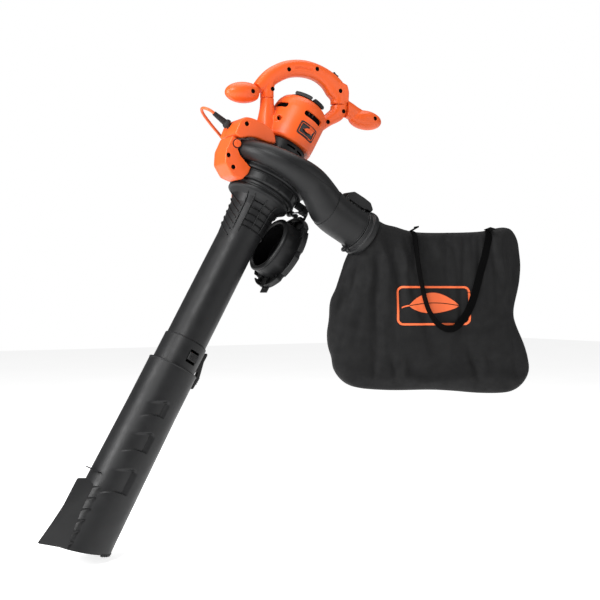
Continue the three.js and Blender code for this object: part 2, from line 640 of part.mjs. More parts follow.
// The rocker on the right of the joint: its nose holds the lower tube.
function tubeLatch() {
  const side = polygon([[51.5, -396], [58, -390], [61, -394], [60, -412], [66, -438], [69, -452],
    [66, -478], [60, -480], [59.5, -458], [57.8, -440], [52.5, -436]]);
  return part('tube_latch_rocker', plate(side, 12, 1.5), black);
}

// ---------------------------------------------------------------- leaf rake on the nozzle
const RAKE_PLANE = -46;

function rake() {
  const outline = [[-453, -618], [-432, -620], [-418, -636], [-446, -687], [-476, -762], [-535, -743],
    [-480, -669]];
  let body = plate(polygon(outline), 3, 0.8, { middle: RAKE_PLANE });
  const teeth = 5;
  for (let i = 0; i < teeth; i += 1) {
    const share = i / (teeth - 1);
    const x = -422 - 40 * share;
    const z = -637 - 106 * share;
    const tooth = polygon([[x - 6, z - 5], [x - 6, z + 5], [x + 18, z + 1.5], [x + 18, z - 1.5]]);
    body = body.add(plate(tooth, 3, 0, { middle: RAKE_PLANE }));
  }
  return part('leaf_rake', body.subtract(tilted(nozzleClearance())), black);
}

const nozzleClearance = () =>
  turned([[0, NOZZLE.top], [NOZZLE.topRadius + 0.6, NOZZLE.top],
    [NOZZLE.bottomRadius + 0.6, NOZZLE.bottom - 20], [0, NOZZLE.bottom - 20]], 24);

// ---------------------------------------------------------------- motor and fan
function motor() {
  const shaft = turned([[0, 31], [4, 31], [4, 243.6], [0, 243.6]], 12);
  const core = ring(4.3, 28, 150, 198, 18);
  const commutator = ring(4.3, 13, 206, 224, 14);
  const stator = ring(29.4, 48.6, 150, 198, 20);
  const coil = (z0, z1) => ring(31, 43, z0, z1, 16);
  const bearing = (z0) => ring(4.3, 11, z0, z0 + 8, 12);
  const brush = (v0, v1) => box([-7, v0, 209], [7, v1, 221]);
  return [
    part('motor_shaft', shaft, steel),
    part('armature_core', core, laminations),
    part('commutator', commutator, copper),
    part('stator_core', stator, laminations),
    part('field_coil_lower', coil(141.5, 149.7), copper),
    part('field_coil_upper', coil(198.3, 205.5), copper),
    part('bearing_lower', bearing(86), steel),
    part('bearing_upper', bearing(235.6), steel),
    part('brush_holder_near', brush(-60.4, -13.4), darkRubber),
    part('brush_holder_far', brush(13.4, 60.4), darkRubber),
  ];
}

function impeller() {
  const blades = 7;
  let body = turned([[4.2, 38], [12, 38], [16, 70], [76, 75], [76, 78], [12, 79], [4.2, 79]], 20);
  for (let i = 0; i < blades; i += 1) {
    const blade = plate(polygon([[14, 42], [58, 40], [76, 48], [76, 76], [14, 76]]), 3, 0);
    body = body.add(blade.rotate([0, 0, (360 * i) / blades]).subtract(disc(4.2, 0, 100, 20)));
  }
  return part('fan_impeller', body, blackSteel);
}

const impellerNut = () =>
  part('impeller_nut', disc(8, 31.5, 37.6, 6).subtract(disc(4.3, 30, 40, 12)), steel);

// ---------------------------------------------------------------- collection bag
const BAG_OUTLINE = smoothOutline([[-40, -50], [-60, -115], [-78, -190], [-82, -250], [-66, -318],
  [-28, -352], [60, -363], [180, -364], [300, -374], [370, -367], [406, -325], [400, -268], [372, -205],
  [368, -170], [382, -105], [386, -45], [376, 5], [350, 25], [290, 14], [200, 10], [120, 11], [60, 26],
  [5, 25]], 27);

const BAG_MOUTH = { centre: [223.3, -100, -96.3] };

function bagSolid(inset) {
  const throat = disc(51 - inset, 4 - inset * 3, 78 - inset, 24);
  const along = new THREE.Vector3(Math.cos(TILT), 0, -Math.sin(TILT))
    .applyAxisAngle(new THREE.Vector3(0, 0, 1), -BAG.turn);
  return union(pillow(BAG_OUTLINE, BAG.depth, inset), aimed(throat, [0, 0, 0], along.toArray()));
}

function bag() {
  const collarRoom = tilted(aimed(disc(57.5, -32, 9.6, 22), [DUCT.end, DUCT.offset, DUCT.height], [1, 0, 0]))
    .translate(BAG_MOUTH.centre.map((value) => -value))
    .rotate([0, 0, -THREE.MathUtils.radToDeg(BAG.turn)]);
  const shell = without(bagSolid(0), bagSolid(BAG.cloth), collarRoom);
  return part('collection_bag', shell, cloth);
}

function bagStrap() {
  const route = [[112, -40, 20], [120, -53, -30], [123, -57.5, -82], [135, -58, -145], [160, -58, -200],
    [194, -58, -220], [228, -58, -200], [255, -58, -147], [282, -56, -62], [296, -51, -20],
    [304, -39, 19]];
  const webbing = polygon([[-10, -0.8], [10, -0.8], [10, 0.8], [-10, 0.8]]);
  return part('bag_strap', swept(route, webbing, 26), cloth);
}

// ---------------------------------------------------------------- assembly
const upright = new THREE.Group();
upright.add(...bailHandle(), ...leftGrip(), ...rightGrip(), ...housing(), ...pod());
upright.add(speedDial(), switchBlock(), gland(), cord(), plug(), powerSwitch(), rake());

const tool = new THREE.Group();
tool.rotation.y = TILT;
tool.add(ventCap(), badge(), motorMount(), ...motor(), impeller(), impellerNut());
tool.add(...scroll(), outletDuct(), bagCollar(), bagReleaseLever(), latchPin());
tool.add(inletCover(), coverPin(), upperTube(), lowerTube(), tubeLock(), tubeLatch());

const bagGroup = new THREE.Group();
bagGroup.position.set(...BAG_MOUTH.centre);
bagGroup.rotation.z = BAG.turn;
bagGroup.add(bag(), bagStrap());

// The origin is the middle of the arch handle, where a hand holds the tool.
const blower = new THREE.Group();
blower.position.set(...GRIP_CENTRE.map((value) => -value));
blower.add(upright, tool, bagGroup);

export default blower;
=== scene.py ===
"""Looks of the corded leaf blower and vacuum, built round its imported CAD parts. Shapes are drawn in
millimetres, in the same three frames as the CAD, and land in the row frame in metres."""
import math

import bmesh
import bpy
from mathutils import Matrix, Vector, noise
from mathutils.bvhtree import BVHTree


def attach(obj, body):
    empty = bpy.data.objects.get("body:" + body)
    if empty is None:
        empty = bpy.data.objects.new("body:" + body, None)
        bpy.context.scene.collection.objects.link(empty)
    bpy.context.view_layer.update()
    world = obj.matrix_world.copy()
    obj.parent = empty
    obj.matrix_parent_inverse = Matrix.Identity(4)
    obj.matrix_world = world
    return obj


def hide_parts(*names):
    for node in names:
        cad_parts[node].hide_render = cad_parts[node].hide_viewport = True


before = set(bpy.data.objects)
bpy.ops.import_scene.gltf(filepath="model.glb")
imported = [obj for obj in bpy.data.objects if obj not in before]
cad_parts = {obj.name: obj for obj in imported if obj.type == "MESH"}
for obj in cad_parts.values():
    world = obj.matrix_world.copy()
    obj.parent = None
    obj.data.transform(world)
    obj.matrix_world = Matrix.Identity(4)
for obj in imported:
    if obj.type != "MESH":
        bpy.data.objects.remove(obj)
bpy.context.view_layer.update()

# ------------------------------------------------------------------ frames and driving sizes
MM = 0.001
TILT = math.radians(29)
GRIP_CENTRE = Vector((108, 0, 307.6))
SEAM = 0.25

UPRIGHT = Matrix.Scale(MM, 4) @ Matrix.Translation(-GRIP_CENTRE)
TOOL = UPRIGHT @ Matrix.Rotation(TILT, 4, "Y")
BAG_MOUTH = Vector((223.3, -100, -96.3))
BAG_TURN = math.radians(-20)
BAG_FRAME = UPRIGHT @ Matrix.Translation(BAG_MOUTH) @ Matrix.Rotation(BAG_TURN, 4, "Z")

BARREL_RADIUS = 65.5
NECK_RADIUS = 52
SCROLL_CENTRE = 55
SCROLL_THROAT = 85
DUCT_V = -110
DUCT_W = 22
HALF_DEPTH = 17
BAG_DEPTH = 112
SCREW_RECESS = 4.9

# ------------------------------------------------------------------ camera
CAMERA_PLACE = (-1.2002, -2.0785, -0.5556)
CAMERA_TURN = (math.radians(90), 0, math.radians(-30))


def make_camera():
    lens = bpy.data.cameras.new("camera")
    lens.lens = 60
    lens.sensor_width = 36
    lens.clip_end = 50
    camera = bpy.data.objects.new("camera", lens)
    camera.location = CAMERA_PLACE
    camera.rotation_euler = CAMERA_TURN
    bpy.context.scene.collection.objects.link(camera)
    bpy.context.scene.camera = camera


make_camera()


# ------------------------------------------------------------------ mesh building
def mesh_object(name, vertices, faces, matrix=UPRIGHT):
    mesh = bpy.data.meshes.new(name)
    mesh.from_pydata([matrix @ Vector(v) for v in vertices], [], faces)
    obj = bpy.data.objects.new(name, mesh)
    bpy.context.scene.collection.objects.link(obj)
    tidy = bmesh.new()
    tidy.from_mesh(mesh)
    bmesh.ops.remove_doubles(tidy, verts=tidy.verts, dist=1e-6)
    bmesh.ops.recalc_face_normals(tidy, faces=tidy.faces)
    tidy.to_mesh(mesh)
    tidy.free()
    return obj


def spline(points, steps):
    """A smooth run of points through a few tuples of numbers."""
    ends = [points[0], *points, points[-1]]
    found = []
    for a, b, c, d in zip(ends, ends[1:], ends[2:], ends[3:]):
        for i in range(steps):
            t = i / steps
            weights = (-0.5 * t + t * t - 0.5 * t ** 3, 1 - 2.5 * t * t + 1.5 * t ** 3,
                       0.5 * t + 2 * t * t - 1.5 * t ** 3, -0.5 * t * t + 0.5 * t ** 3)
            found.append(tuple(sum(w * p[k] for w, p in zip(weights, (a, b, c, d)))
                               for k in range(len(a))))
    found.append(tuple(points[-1]))
    return found


def closed_spline(points, steps):
    count = len(points)
    found = []
    for i in range(count):
        four = [points[(i + k - 1) % count] for k in range(4)]
        found += spline(four, steps)[steps:2 * steps]
    return found


def skin(name, rings, matrix=UPRIGHT, capped=True, looped=False):
    """A mesh over rings of points, each ring closed."""
    sides = len(rings[0])
    vertices = [p for ring in rings for p in ring]
    faces = []
    spans = len(rings) if looped else len(rings) - 1
    for i in range(spans):
        for k in range(sides):
            a, b = i * sides + k, i * sides + (k + 1) % sides
            c, d = ((i + 1) % len(rings)) * sides + (k + 1) % sides, ((i + 1) % len(rings)) * sides + k
            faces.append((a, b, c, d))
    if capped and not looped:
        faces.append(tuple(reversed(range(sides))))
        faces.append(tuple(range((len(rings) - 1) * sides, len(rings) * sides)))
    return mesh_object(name, vertices, faces, matrix)


def rounded(profile, radius, steps=4):
    """A closed [r, z] profile with every corner rounded, apart from those on the axis."""
    found = []
    count = len(profile)
    for i, point in enumerate(profile):
        here, before, after = (Vector(profile[k % count]) for k in (i, i - 1, i + 1))
        if here.x < 1e-6:
            found.append(tuple(here))
            continue
        back, ahead = before - here, after - here
        reach = min(radius, 0.45 * back.length, 0.45 * ahead.length)
        start, end = here + back.normalized() * reach, here + ahead.normalized() * reach
        for k in range(steps + 1):
            t = k / steps
            found.append(tuple((1 - t) ** 2 * start + 2 * t * (1 - t) * here + t * t * end))
    return found


def turned(name, profile, matrix=TOOL, segments=128, soft=0.8, at=(0, 0, 0), along=(0, 0, 1)):
    """A body turned about its axis from a closed [r, z] profile, stood at a point."""
    outline = rounded(profile, soft) if soft else profile
    stand = Matrix.Translation(Vector(at)) @ Vector(along).to_track_quat("Z", "Y").to_matrix().to_4x4()
    rings = []
    for k in range(segments):
        turn = 2 * math.pi * k / segments
        rings.append([(r * math.cos(turn), r * math.sin(turn), z) for r, z in outline])
    return skin(name, rings, matrix @ stand, looped=True)


def softened(outline, radius, steps=5):
    """A closed [x, z] outline with every corner rounded."""
    found = []
    count = len(outline)
    for i in range(count):
        here, before, after = (Vector(outline[k % count]) for k in (i, i - 1, i + 1))
        back, ahead = before - here, after - here
        reach = min(radius, 0.45 * back.length, 0.45 * ahead.length)
        start, end = here + back.normalized() * reach, here + ahead.normalized() * reach
        for k in range(steps + 1):
            t = k / steps
            found.append(tuple((1 - t) ** 2 * start + 2 * t * (1 - t) * here + t * t * end))
    return found


def pipe(name, stations, matrix, sides=48, steps=6):
    """A round pipe of changing radius through stations of (x, y, z, radius)."""
    route = spline(stations, steps)
    rings = []
    for i, (x, y, z, radius) in enumerate(route):
        ahead, behind = route[min(i + 1, len(route) - 1)], route[max(i - 1, 0)]
        along = (Vector(ahead[:3]) - Vector(behind[:3])).normalized()
        side = along.cross(Vector((0, 0, 1))).normalized()
        rise = side.cross(along)
        ring = []
        for k in range(sides):
            turn = 2 * math.pi * k / sides
            ring.append(Vector((x, y, z)) + (side * math.cos(turn) + rise * math.sin(turn)) * radius)
        rings.append(ring)
    return skin(name, rings, matrix)


def limb(name, stations, matrix=UPRIGHT, sides=48, steps=8):
    """A limb in the XZ plane through stations of (x, z, half width, half depth)."""
    route = spline(stations, steps)
    rings = []
    for i, (x, z, width, depth) in enumerate(route):
        ahead, behind = route[min(i + 1, len(route) - 1)], route[max(i - 1, 0)]
        along = Vector((ahead[0] - behind[0], ahead[1] - behind[1])).normalized()
        ring = []
        for k in range(sides):
            turn = 2 * math.pi * k / sides
            across, out = (math.copysign(abs(f(turn)) ** 0.8, f(turn)) for f in (math.cos, math.sin))
            ring.append((x - along.y * across * width, out * depth, z + along.x * across * width))
        rings.append(ring)
    return skin(name, rings, matrix)


def ovoid(name, centre, halves, tilt=0, matrix=UPRIGHT):
    rings = []
    turn_y = Matrix.Rotation(math.radians(tilt), 3, "Y")
    for i in range(1, 40):
        latitude = math.pi * i / 40
        ring = []
        for k in range(64):
            turn = 2 * math.pi * k / 64
            point = Vector((-halves[0] * math.cos(latitude), halves[1] * math.sin(latitude) * math.cos(turn),
                            halves[2] * math.sin(latitude) * math.sin(turn)))
            ring.append(turn_y @ point + Vector(centre))
        rings.append(ring)
    return skin(name, rings, matrix)


def prism(name, outline, y0, y1, matrix=UPRIGHT, edge=0, rounds=5):
    """A flat body over an outline in the XZ plane, with rounded edges."""
    count = len(outline)
    vertices = [(x, y, z) for y in (y0, y1) for x, z in outline]
    faces = [tuple(range(count)), tuple(reversed(range(count, 2 * count)))]
    faces += [(k, (k + 1) % count, count + (k + 1) % count, count + k) for k in range(count)]
    obj = mesh_object(name, vertices, faces, matrix)
    if edge:
        bevel = obj.modifiers.new("edge", "BEVEL")
        bevel.width = edge * MM
        bevel.segments = rounds
        bevel.limit_method = "ANGLE"
        bevel.angle_limit = math.radians(30)
        applied(obj)
    return obj


def block(name, low, high, matrix=TOOL, edge=0.8):
    (x0, y0, z0), (x1, y1, z1) = low, high
    return prism(name, [(x0, z0), (x1, z0), (x1, z1), (x0, z1)], y0, y1, matrix, edge, 3)


def wrapped(name, theta, w, size, radii, corner, matrix=TOOL, at=(0, 0)):
    """A rounded panel bent round the motor axis, centred on an angle and a height."""
    half_arc, half_height = size[0] / 2, size[1] / 2
    outline = []
    for quarter in range(4):
        sx, sy = ((1, 1), (-1, 1), (-1, -1), (1, -1))[quarter]
        for k in range(7):
            turn = math.radians(90 * quarter + 15 * k)
            outline.append((sx * (half_arc - corner) + corner * math.cos(turn),
                            sy * (half_height - corner) + corner * math.sin(turn)))
    dense = []
    for i, a in enumerate(outline):
        b = outline[(i + 1) % len(outline)]
        parts = max(1, int(math.dist(a, b) / 3))
        dense += [(a[0] + (b[0] - a[0]) * k / parts, a[1] + (b[1] - a[1]) * k / parts)
                  for k in range(parts)]
    middle = sum(radii) / 2
    rings = []
    for radius in (radii[0], radii[1]):
        ring = []
        for arc, rise in dense:
            turn = math.radians(theta) + arc / middle
            ring.append((radius * math.cos(turn), radius * math.sin(turn), w + rise))
        rings.append(ring)
    return skin(name, rings, matrix)


def applied(obj):
    """Fixes an object's modifiers into its mesh."""
    bpy.context.view_layer.update()
    mesh = bpy.data.meshes.new_from_object(obj.evaluated_get(bpy.context.evaluated_depsgraph_get()))
    obj.modifiers.clear()
    obj.data = mesh
    return obj


def joined(objects):
    first, rest = objects[0], objects[1:]
    merged = bmesh.new()
    for obj in objects:
        merged.from_mesh(obj.data)
    merged.to_mesh(first.data)
    merged.free()
    for obj in rest:
        bpy.data.objects.remove(obj)
    return first


def fused(objects, voxel, smoothing):
    """Overlapping bodies as one moulded body with small fillets between them."""
    body = joined(objects)
    remesh = body.modifiers.new("fuse", "REMESH")
    remesh.mode = "VOXEL"
    remesh.voxel_size = voxel * MM
    smooth = body.modifiers.new("fillet", "SMOOTH")
    smooth.factor = 0.5
    smooth.iterations = smoothing
    return applied(body)


def carve(body, cutters, operation="DIFFERENCE"):
    cutter = joined(cutters)
    step = body.modifiers.new("cut", "BOOLEAN")
    step.operation = operation
    step.solver = "EXACT"
    step.use_self = len(cutters) > 1
    step.object = cutter
    applied(body)
    bpy.data.objects.remove(cutter)
    return body


def trimmed(body, point, normal, matrix=UPRIGHT):
    """Takes away the side of a plane that its normal points to, and closes the cut."""
    edit = bmesh.new()
    edit.from_mesh(body.data)
    found = bmesh.ops.bisect_plane(
        edit, geom=[*edit.verts, *edit.edges, *edit.faces], dist=1e-7, clear_outer=True,
        plane_co=matrix @ Vector(point), plane_no=(matrix.to_3x3() @ Vector(normal)).normalized())
    rim = [e for e in found["geom_cut"] if isinstance(e, bmesh.types.BMEdge)]
    bmesh.ops.holes_fill(edit, edges=rim, sides=0)
    bmesh.ops.recalc_face_normals(edit, faces=edit.faces)
    edit.to_mesh(body.data)
    edit.free()
    return body


def copied(obj, name):
    twin = obj.copy()
    twin.data = obj.data.copy()
    twin.name = name
    bpy.context.scene.collection.objects.link(twin)
    return twin


def halves(body, names):
    """The near and far halves of a clamshell, either side of its seam."""
    near, far = body, copied(body, names[1])
    near.name = names[0]
    trimmed(near, (0, -SEAM, 0), (0, 1, 0))
    trimmed(far, (0, SEAM, 0), (0, -1, 0))
    return near, far


def dressed(obj, body, material, replaced=(), sharp=32):
    """Shades a finished piece, gives it its material and hangs it on its body."""
    mesh = obj.data
    mesh.shade_smooth()
    mesh.set_sharp_from_angle(angle=math.radians(sharp))
    mesh.materials.clear()
    mesh.materials.append(material)
    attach(obj, body)
    if replaced:
        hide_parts(*replaced)
    return obj


# ------------------------------------------------------------------ materials
class Shader:
    """A procedural material: a Principled shader with its own small node graph."""

    def __init__(self, name, colour, roughness, metallic=0.0):
        self.material = bpy.data.materials.new(name)
        self.material.use_nodes = True
        self.tree = self.material.node_tree
        self.principled = self.tree.nodes["Principled BSDF"]
        self.principled.inputs["Base Color"].default_value = (*colour, 1)
        self.principled.inputs["Roughness"].default_value = roughness
        self.principled.inputs["Metallic"].default_value = metallic
        self.place = self.add("ShaderNodeTexCoord").outputs["Object"]

    def add(self, kind, **values):
        node = self.tree.nodes.new(kind)
        for key, value in values.items():
            if hasattr(node, key):
                setattr(node, key, value)
            else:
                node.inputs[key.replace("_", " ").title()].default_value = value
        return node

    def link(self, source, target):
        self.tree.links.new(source, target)

    def noise(self, scale, detail=3.0, stretch=(1, 1, 1)):
        mapping = self.add("ShaderNodeMapping")
        mapping.inputs["Scale"].default_value = stretch
        self.link(self.place, mapping.inputs["Vector"])
        node = self.add("ShaderNodeTexNoise")
        node.inputs["Scale"].default_value = scale
        node.inputs["Detail"].default_value = detail
        self.link(mapping.outputs["Vector"], node.inputs["Vector"])
        return node.outputs["Fac"]

    def spread(self, value, low, high):
        node = self.add("ShaderNodeMapRange")
        node.inputs["From Min"].default_value = 0.3
        node.inputs["From Max"].default_value = 0.7
        node.inputs["To Min"].default_value = low
        node.inputs["To Max"].default_value = high
        self.link(value, node.inputs["Value"])
        return node.outputs["Result"]

    def colours(self, value, dark, light):
        ramp = self.add("ShaderNodeValToRGB")
        ramp.color_ramp.elements[0].color = (*dark, 1)
        ramp.color_ramp.elements[0].position = 0.3
        ramp.color_ramp.elements[1].color = (*light, 1)
        ramp.color_ramp.elements[1].position = 0.7
        self.link(value, ramp.inputs["Fac"])
        return ramp.outputs["Color"]

    def bump(self, height, strength, distance):
        node = self.add("ShaderNodeBump")
        node.inputs["Strength"].default_value = strength
        node.inputs["Distance"].default_value = distance
        previous = self.principled.inputs["Normal"].links
        if previous:
            self.link(previous[0].from_socket, node.inputs["Normal"])
        self.link(height, node.inputs["Height"])
        self.link(node.outputs["Normal"], self.principled.inputs["Normal"])


def moulded(name, colour, roughness, grain=900, relief=0.00005, spread=0.06, gloss_level=0.4):
    """Moulded plastic: fine spark-eroded grain and slow gloss changes."""
    shader = Shader(name, colour, roughness)
    shader.principled.inputs["Specular IOR Level"].default_value = gloss_level
    slow = shader.noise(9)
    dark = [c * (1 - spread) for c in colour]
    light = [min(1, c * (1 + spread)) for c in colour]
    shader.link(shader.colours(slow, dark, light), shader.principled.inputs["Base Color"])
    gloss = shader.noise(38, 4)
    shader.link(shader.spread(gloss, roughness - 0.05, roughness + 0.07),
                shader.principled.inputs["Roughness"])
    shader.bump(shader.noise(grain, 2), 0.35, relief)
    shader.bump(shader.noise(60, 2), 0.08, 0.0003)
    return shader.material


def woven(name, colour, gloss_level, thread=0.0009, relief=0.00012):
    """Plain-woven nylon: crossing threads and slubs, with a tone that varies at random."""
    shader = Shader(name, colour, 0.78)
    shader.principled.inputs["Specular IOR Level"].default_value = gloss_level
    shader.principled.inputs["Sheen Weight"].default_value = 0.02
    shader.principled.inputs["Sheen Roughness"].default_value = 0.45
    waves = []
    for direction in ("X", "Z"):
        wave = shader.add("ShaderNodeTexWave", bands_direction=direction)
        wave.inputs["Scale"].default_value = 0.5 / thread / math.pi
        wave.inputs["Distortion"].default_value = 1.2
        wave.inputs["Detail"].default_value = 1.0
        wave.inputs["Detail Scale"].default_value = 2.0
        shader.link(shader.place, wave.inputs["Vector"])
        waves.append(wave.outputs["Fac"])
    crossing = shader.add("ShaderNodeMath", operation="MAXIMUM")
    shader.link(waves[0], crossing.inputs[0])
    shader.link(waves[1], crossing.inputs[1])
    dark = [c * 0.9 for c in colour]
    light = [c * 1.15 for c in colour]
    shader.link(shader.colours(shader.noise(22, 5), dark, light), shader.principled.inputs["Base Color"])
    shader.link(shader.spread(shader.noise(45, 3), 0.7, 0.88), shader.principled.inputs["Roughness"])
    shader.bump(crossing.outputs[0], 0.5, relief)
    shader.bump(shader.noise(130, 4), 0.25, 0.0004)
    return shader.material


def machined(name, colour, roughness, stretch=(1, 1, 30)):
    """Turned, stacked or plated metal with fine lines."""
    shader = Shader(name, colour, roughness, metallic=1.0)
    lines = shader.noise(160, 3, stretch)
    dark = [c * 0.8 for c in colour]
    light = [min(1, c * 1.15) for c in colour]
    shader.link(shader.colours(lines, dark, light), shader.principled.inputs["Base Color"])
    shader.link(shader.spread(lines, roughness - 0.08, roughness + 0.1),
                shader.principled.inputs["Roughness"])
    shader.bump(lines, 0.2, 0.00005)
    return shader.material


ORANGE = moulded("orange_plastic", (0.80, 0.108, 0.016), 0.34, spread=0.05)
BLACK = moulded("black_plastic", (0.0085, 0.0087, 0.0092), 0.43, grain=700, relief=0.00008, gloss_level=0.3)
# Near-black, rough and almost without gloss: painted shade for the insides of the screw recesses, the barrel slots
# and the motor neck.
PAINTED_SHADE = moulded("painted_shade_inside", (0.0012, 0.0012, 0.0013), 0.9, gloss_level=0.05)
GLOSS_BLACK = moulded("black_gloss_plastic", (0.013, 0.0135, 0.0145), 0.33)
RUBBER = moulded("black_rubber", (0.011, 0.011, 0.0115), 0.68, grain=500, relief=0.0001)
PRINT = moulded("orange_print", (0.80, 0.14, 0.04), 0.6, grain=1400, relief=0.00006)
SHEATH = moulded("cord_sheath", (0.72, 0.13, 0.035), 0.5, grain=600)
CLOTH = woven("bag_cloth", (0.0085, 0.0085, 0.0088), 0.2)
WEBBING = woven("strap_webbing", (0.0018, 0.0018, 0.0019), 0.03, thread=0.0016, relief=0.0003)
DARK_STEEL = machined("dark_steel", (0.012, 0.012, 0.013), 0.5)
STEEL = machined("steel", (0.55, 0.56, 0.58), 0.3)
STACK = machined("laminations", (0.3, 0.31, 0.33), 0.45, stretch=(1, 1, 80))
COPPER = machined("copper", (0.7, 0.33, 0.16), 0.35)

# ------------------------------------------------------------------ cord and plug
CORD_DIAMETER = 7
GLAND_ROOT = Vector((-82, 0, 154.6))
GLAND_DIRECTION = Vector((-0.835, 0, 0.55))
GLAND_LENGTH = 45
GLAND_TIP = GLAND_ROOT + GLAND_DIRECTION * GLAND_LENGTH
CORD_ROUTE = [
    tuple(GLAND_TIP + GLAND_DIRECTION * 0.3),
    (-126, 1, 184), (-132.5, 5, 188), (-137, 14, 191.5), (-137.5, 25, 192.5), (-133, 37, 190),
    (-123, 48, 183), (-108, 57, 172), (-90, 64.5, 158), (-72, 71, 144.5), (-54, 82, 131),
    (-38, 97, 115), (-25, 111, 94), (-17, 120, 70), (-12, 124, 42), (-10, 125, 14), (-10, 125, -14),
]
PLUG_TOP = (-10, 125, -14.3)


def make_plug():
    grip = turned("plug_body", [(0, 0), (6, 0), (6.6, -8), (9, -15), (17, -21), (18.4, -26), (18.4, -38),
                                (16, -40), (0, -40)], UPRIGHT, soft=1.6, at=PLUG_TOP)
    ridges = [turned("ridge", [(6.2, z), (8, z - 0.6), (8.4, z - 2), (6.4, z - 2.4)], UPRIGHT, 48, 0.5,
                     at=PLUG_TOP) for z in (-3, -7, -11)]
    pins = [turned("pin", [(0, -59), (1.6, -59), (2.4, -57.6), (2.4, -39), (0, -39)], UPRIGHT, 32, 0.3,
                   at=Vector(PLUG_TOP) + Vector((x, 0, 0))) for x in (-9.5, 9.5)]
    plug = joined([grip, *ridges])
    plug.name = "plug"
    dressed(plug, "blower", RUBBER, ["mains_plug"])
    brass = joined(pins)
    brass.name = "plug_pins"
    dressed(brass, "blower", STEEL)
    return [plug, brass]


def make_cord():
    route = [UPRIGHT @ Vector(p) for p in spline(CORD_ROUTE, 8)]
    curve = bpy.data.curves.new("cord", "CURVE")
    curve.dimensions = "3D"
    curve.bevel_depth = CORD_DIAMETER / 2 * MM
    curve.bevel_resolution = 6
    curve.use_fill_caps = True
    line = curve.splines.new("POLY")
    line.points.add(len(route) - 1)
    for point, place in zip(line.points, route):
        point.co = (*place, 1)
    line.use_smooth = True
    flex = bpy.data.objects.new("cord", curve)
    bpy.context.scene.collection.objects.link(flex)
    curve.materials.append(SHEATH)
    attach(flex, "blower")
    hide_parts("power_cord")
    make_plug()


make_cord()


# ------------------------------------------------------------------ orange shells
ARCH = [(-8, 248, 13, 15), (12, 264, 19, HALF_DEPTH), (37, 284, 20.5, HALF_DEPTH),
        (72, 301, 20.5, HALF_DEPTH), (113, 307.5, 20.5, HALF_DEPTH), (152, 302.5, 20.5, HALF_DEPTH),
        (184, 288, 23, HALF_DEPTH), (207, 267, 27, HALF_DEPTH), (217, 247, 21.5, HALF_DEPTH),
        (217, 230, 20, HALF_DEPTH)]
BAIL_LEG = [(18, 227, 14.5, HALF_DEPTH), (18, 245, 14.5, HALF_DEPTH), (22, 268, 15, HALF_DEPTH)]
LEFT_LEG = [(18, 226.5, 14.5, HALF_DEPTH), (18, 205, 16, HALF_DEPTH), (17, 180, 20, HALF_DEPTH + 3),
            (15, 156, 23, HALF_DEPTH + 9), (11, 130, 26, HALF_DEPTH + 14)]
STRUT = [(217, 229.5, 20, HALF_DEPTH), (217, 222, 20, HALF_DEPTH), (210, 207, 18.5, HALF_DEPTH),
         (182, 188, 14.5, HALF_DEPTH), (150, 166, 14, HALF_DEPTH)]
REAR_SHAPE = [(-143, 66), (-146, 98), (-140, 114), (-127, 121), (-110, 126), (-90, 129), (-66, 128), (-52, 118),
              (-42, 104), (-66, 94), (-94, 88), (-112, 78), (-124, 66)]
REAR_HALF = (-55, 29)
POD_SHAPE = [(-145, 61), (-143, 24), (-130, -4), (-102, -19), (-76, -14), (-69, 8), (-71, 34),
             (-98, 38), (-117, 45), (-130, 61)]
POD_HALF = (-52, 12)
SCREWS = {
    "bail": [((25, 247), 17), ((69, 298), 17), ((147, 308), 17), ((213, 262), 17)],
    "left_grip": [((-30, 235), 23)],
    "right_grip": [((312, 203), 21)],
    "housing": [((222, 213), 17), ((177, 183), 17), ((33, 177), 27), ((-62, 152), 54)],
    "pod": [((-107, 78), 52), ((-95, 52), 52)],
}


def screw_mouths(group):
    """A recess for each screw of a clamshell, open on the near side."""
    cuts = []
    for (x, z), face in SCREWS[group]:
        seat = 7.3 - face
        cuts.append(turned("mouth", [(0, -face - 12), (SCREW_RECESS + 1.4, -face - 12),
                                     (SCREW_RECESS + 1.4, -face - 0.2), (SCREW_RECESS, -face + 1.6),
                                     (SCREW_RECESS, seat), (0, seat)],
                           UPRIGHT, 32, 0, at=(x, 0, z), along=(0, 1, 0)))
    return cuts


def make_screw_shade_sleeves():
    """A near-black sleeve down each screw recess: painted shade that makes the recess read black."""
    shade_sleeves = []
    for (x, z), face in (place for group in SCREWS.values() for place in group):
        outer, inner = SCREW_RECESS - 0.05, SCREW_RECESS - 0.9
        shade_sleeves.append(turned("shade_sleeve", [(inner, 7.2 - face), (outer, 7.2 - face), (outer, 0.6 - face),
                                     (inner, 0.6 - face)], UPRIGHT, 32, 0.2, at=(x, 0, z), along=(0, 1, 0)))
    dressed(joined(shade_sleeves), "blower", PAINTED_SHADE)


def scroll_room():
    """The room that the scroll and its inlet neck take out of the pieces that wrap them."""
    return turned("room", [(0, -1), (84.5, -1), (84.5, 22), (94, 22.5), (108, 27.5), (119, 31), (129.5, 40),
                           (134, 54), (131, 67.5), (121, 79), (107, 82.5), (94, 89.5), (0, 89.5)],
                  TOOL, 160, 1.2)


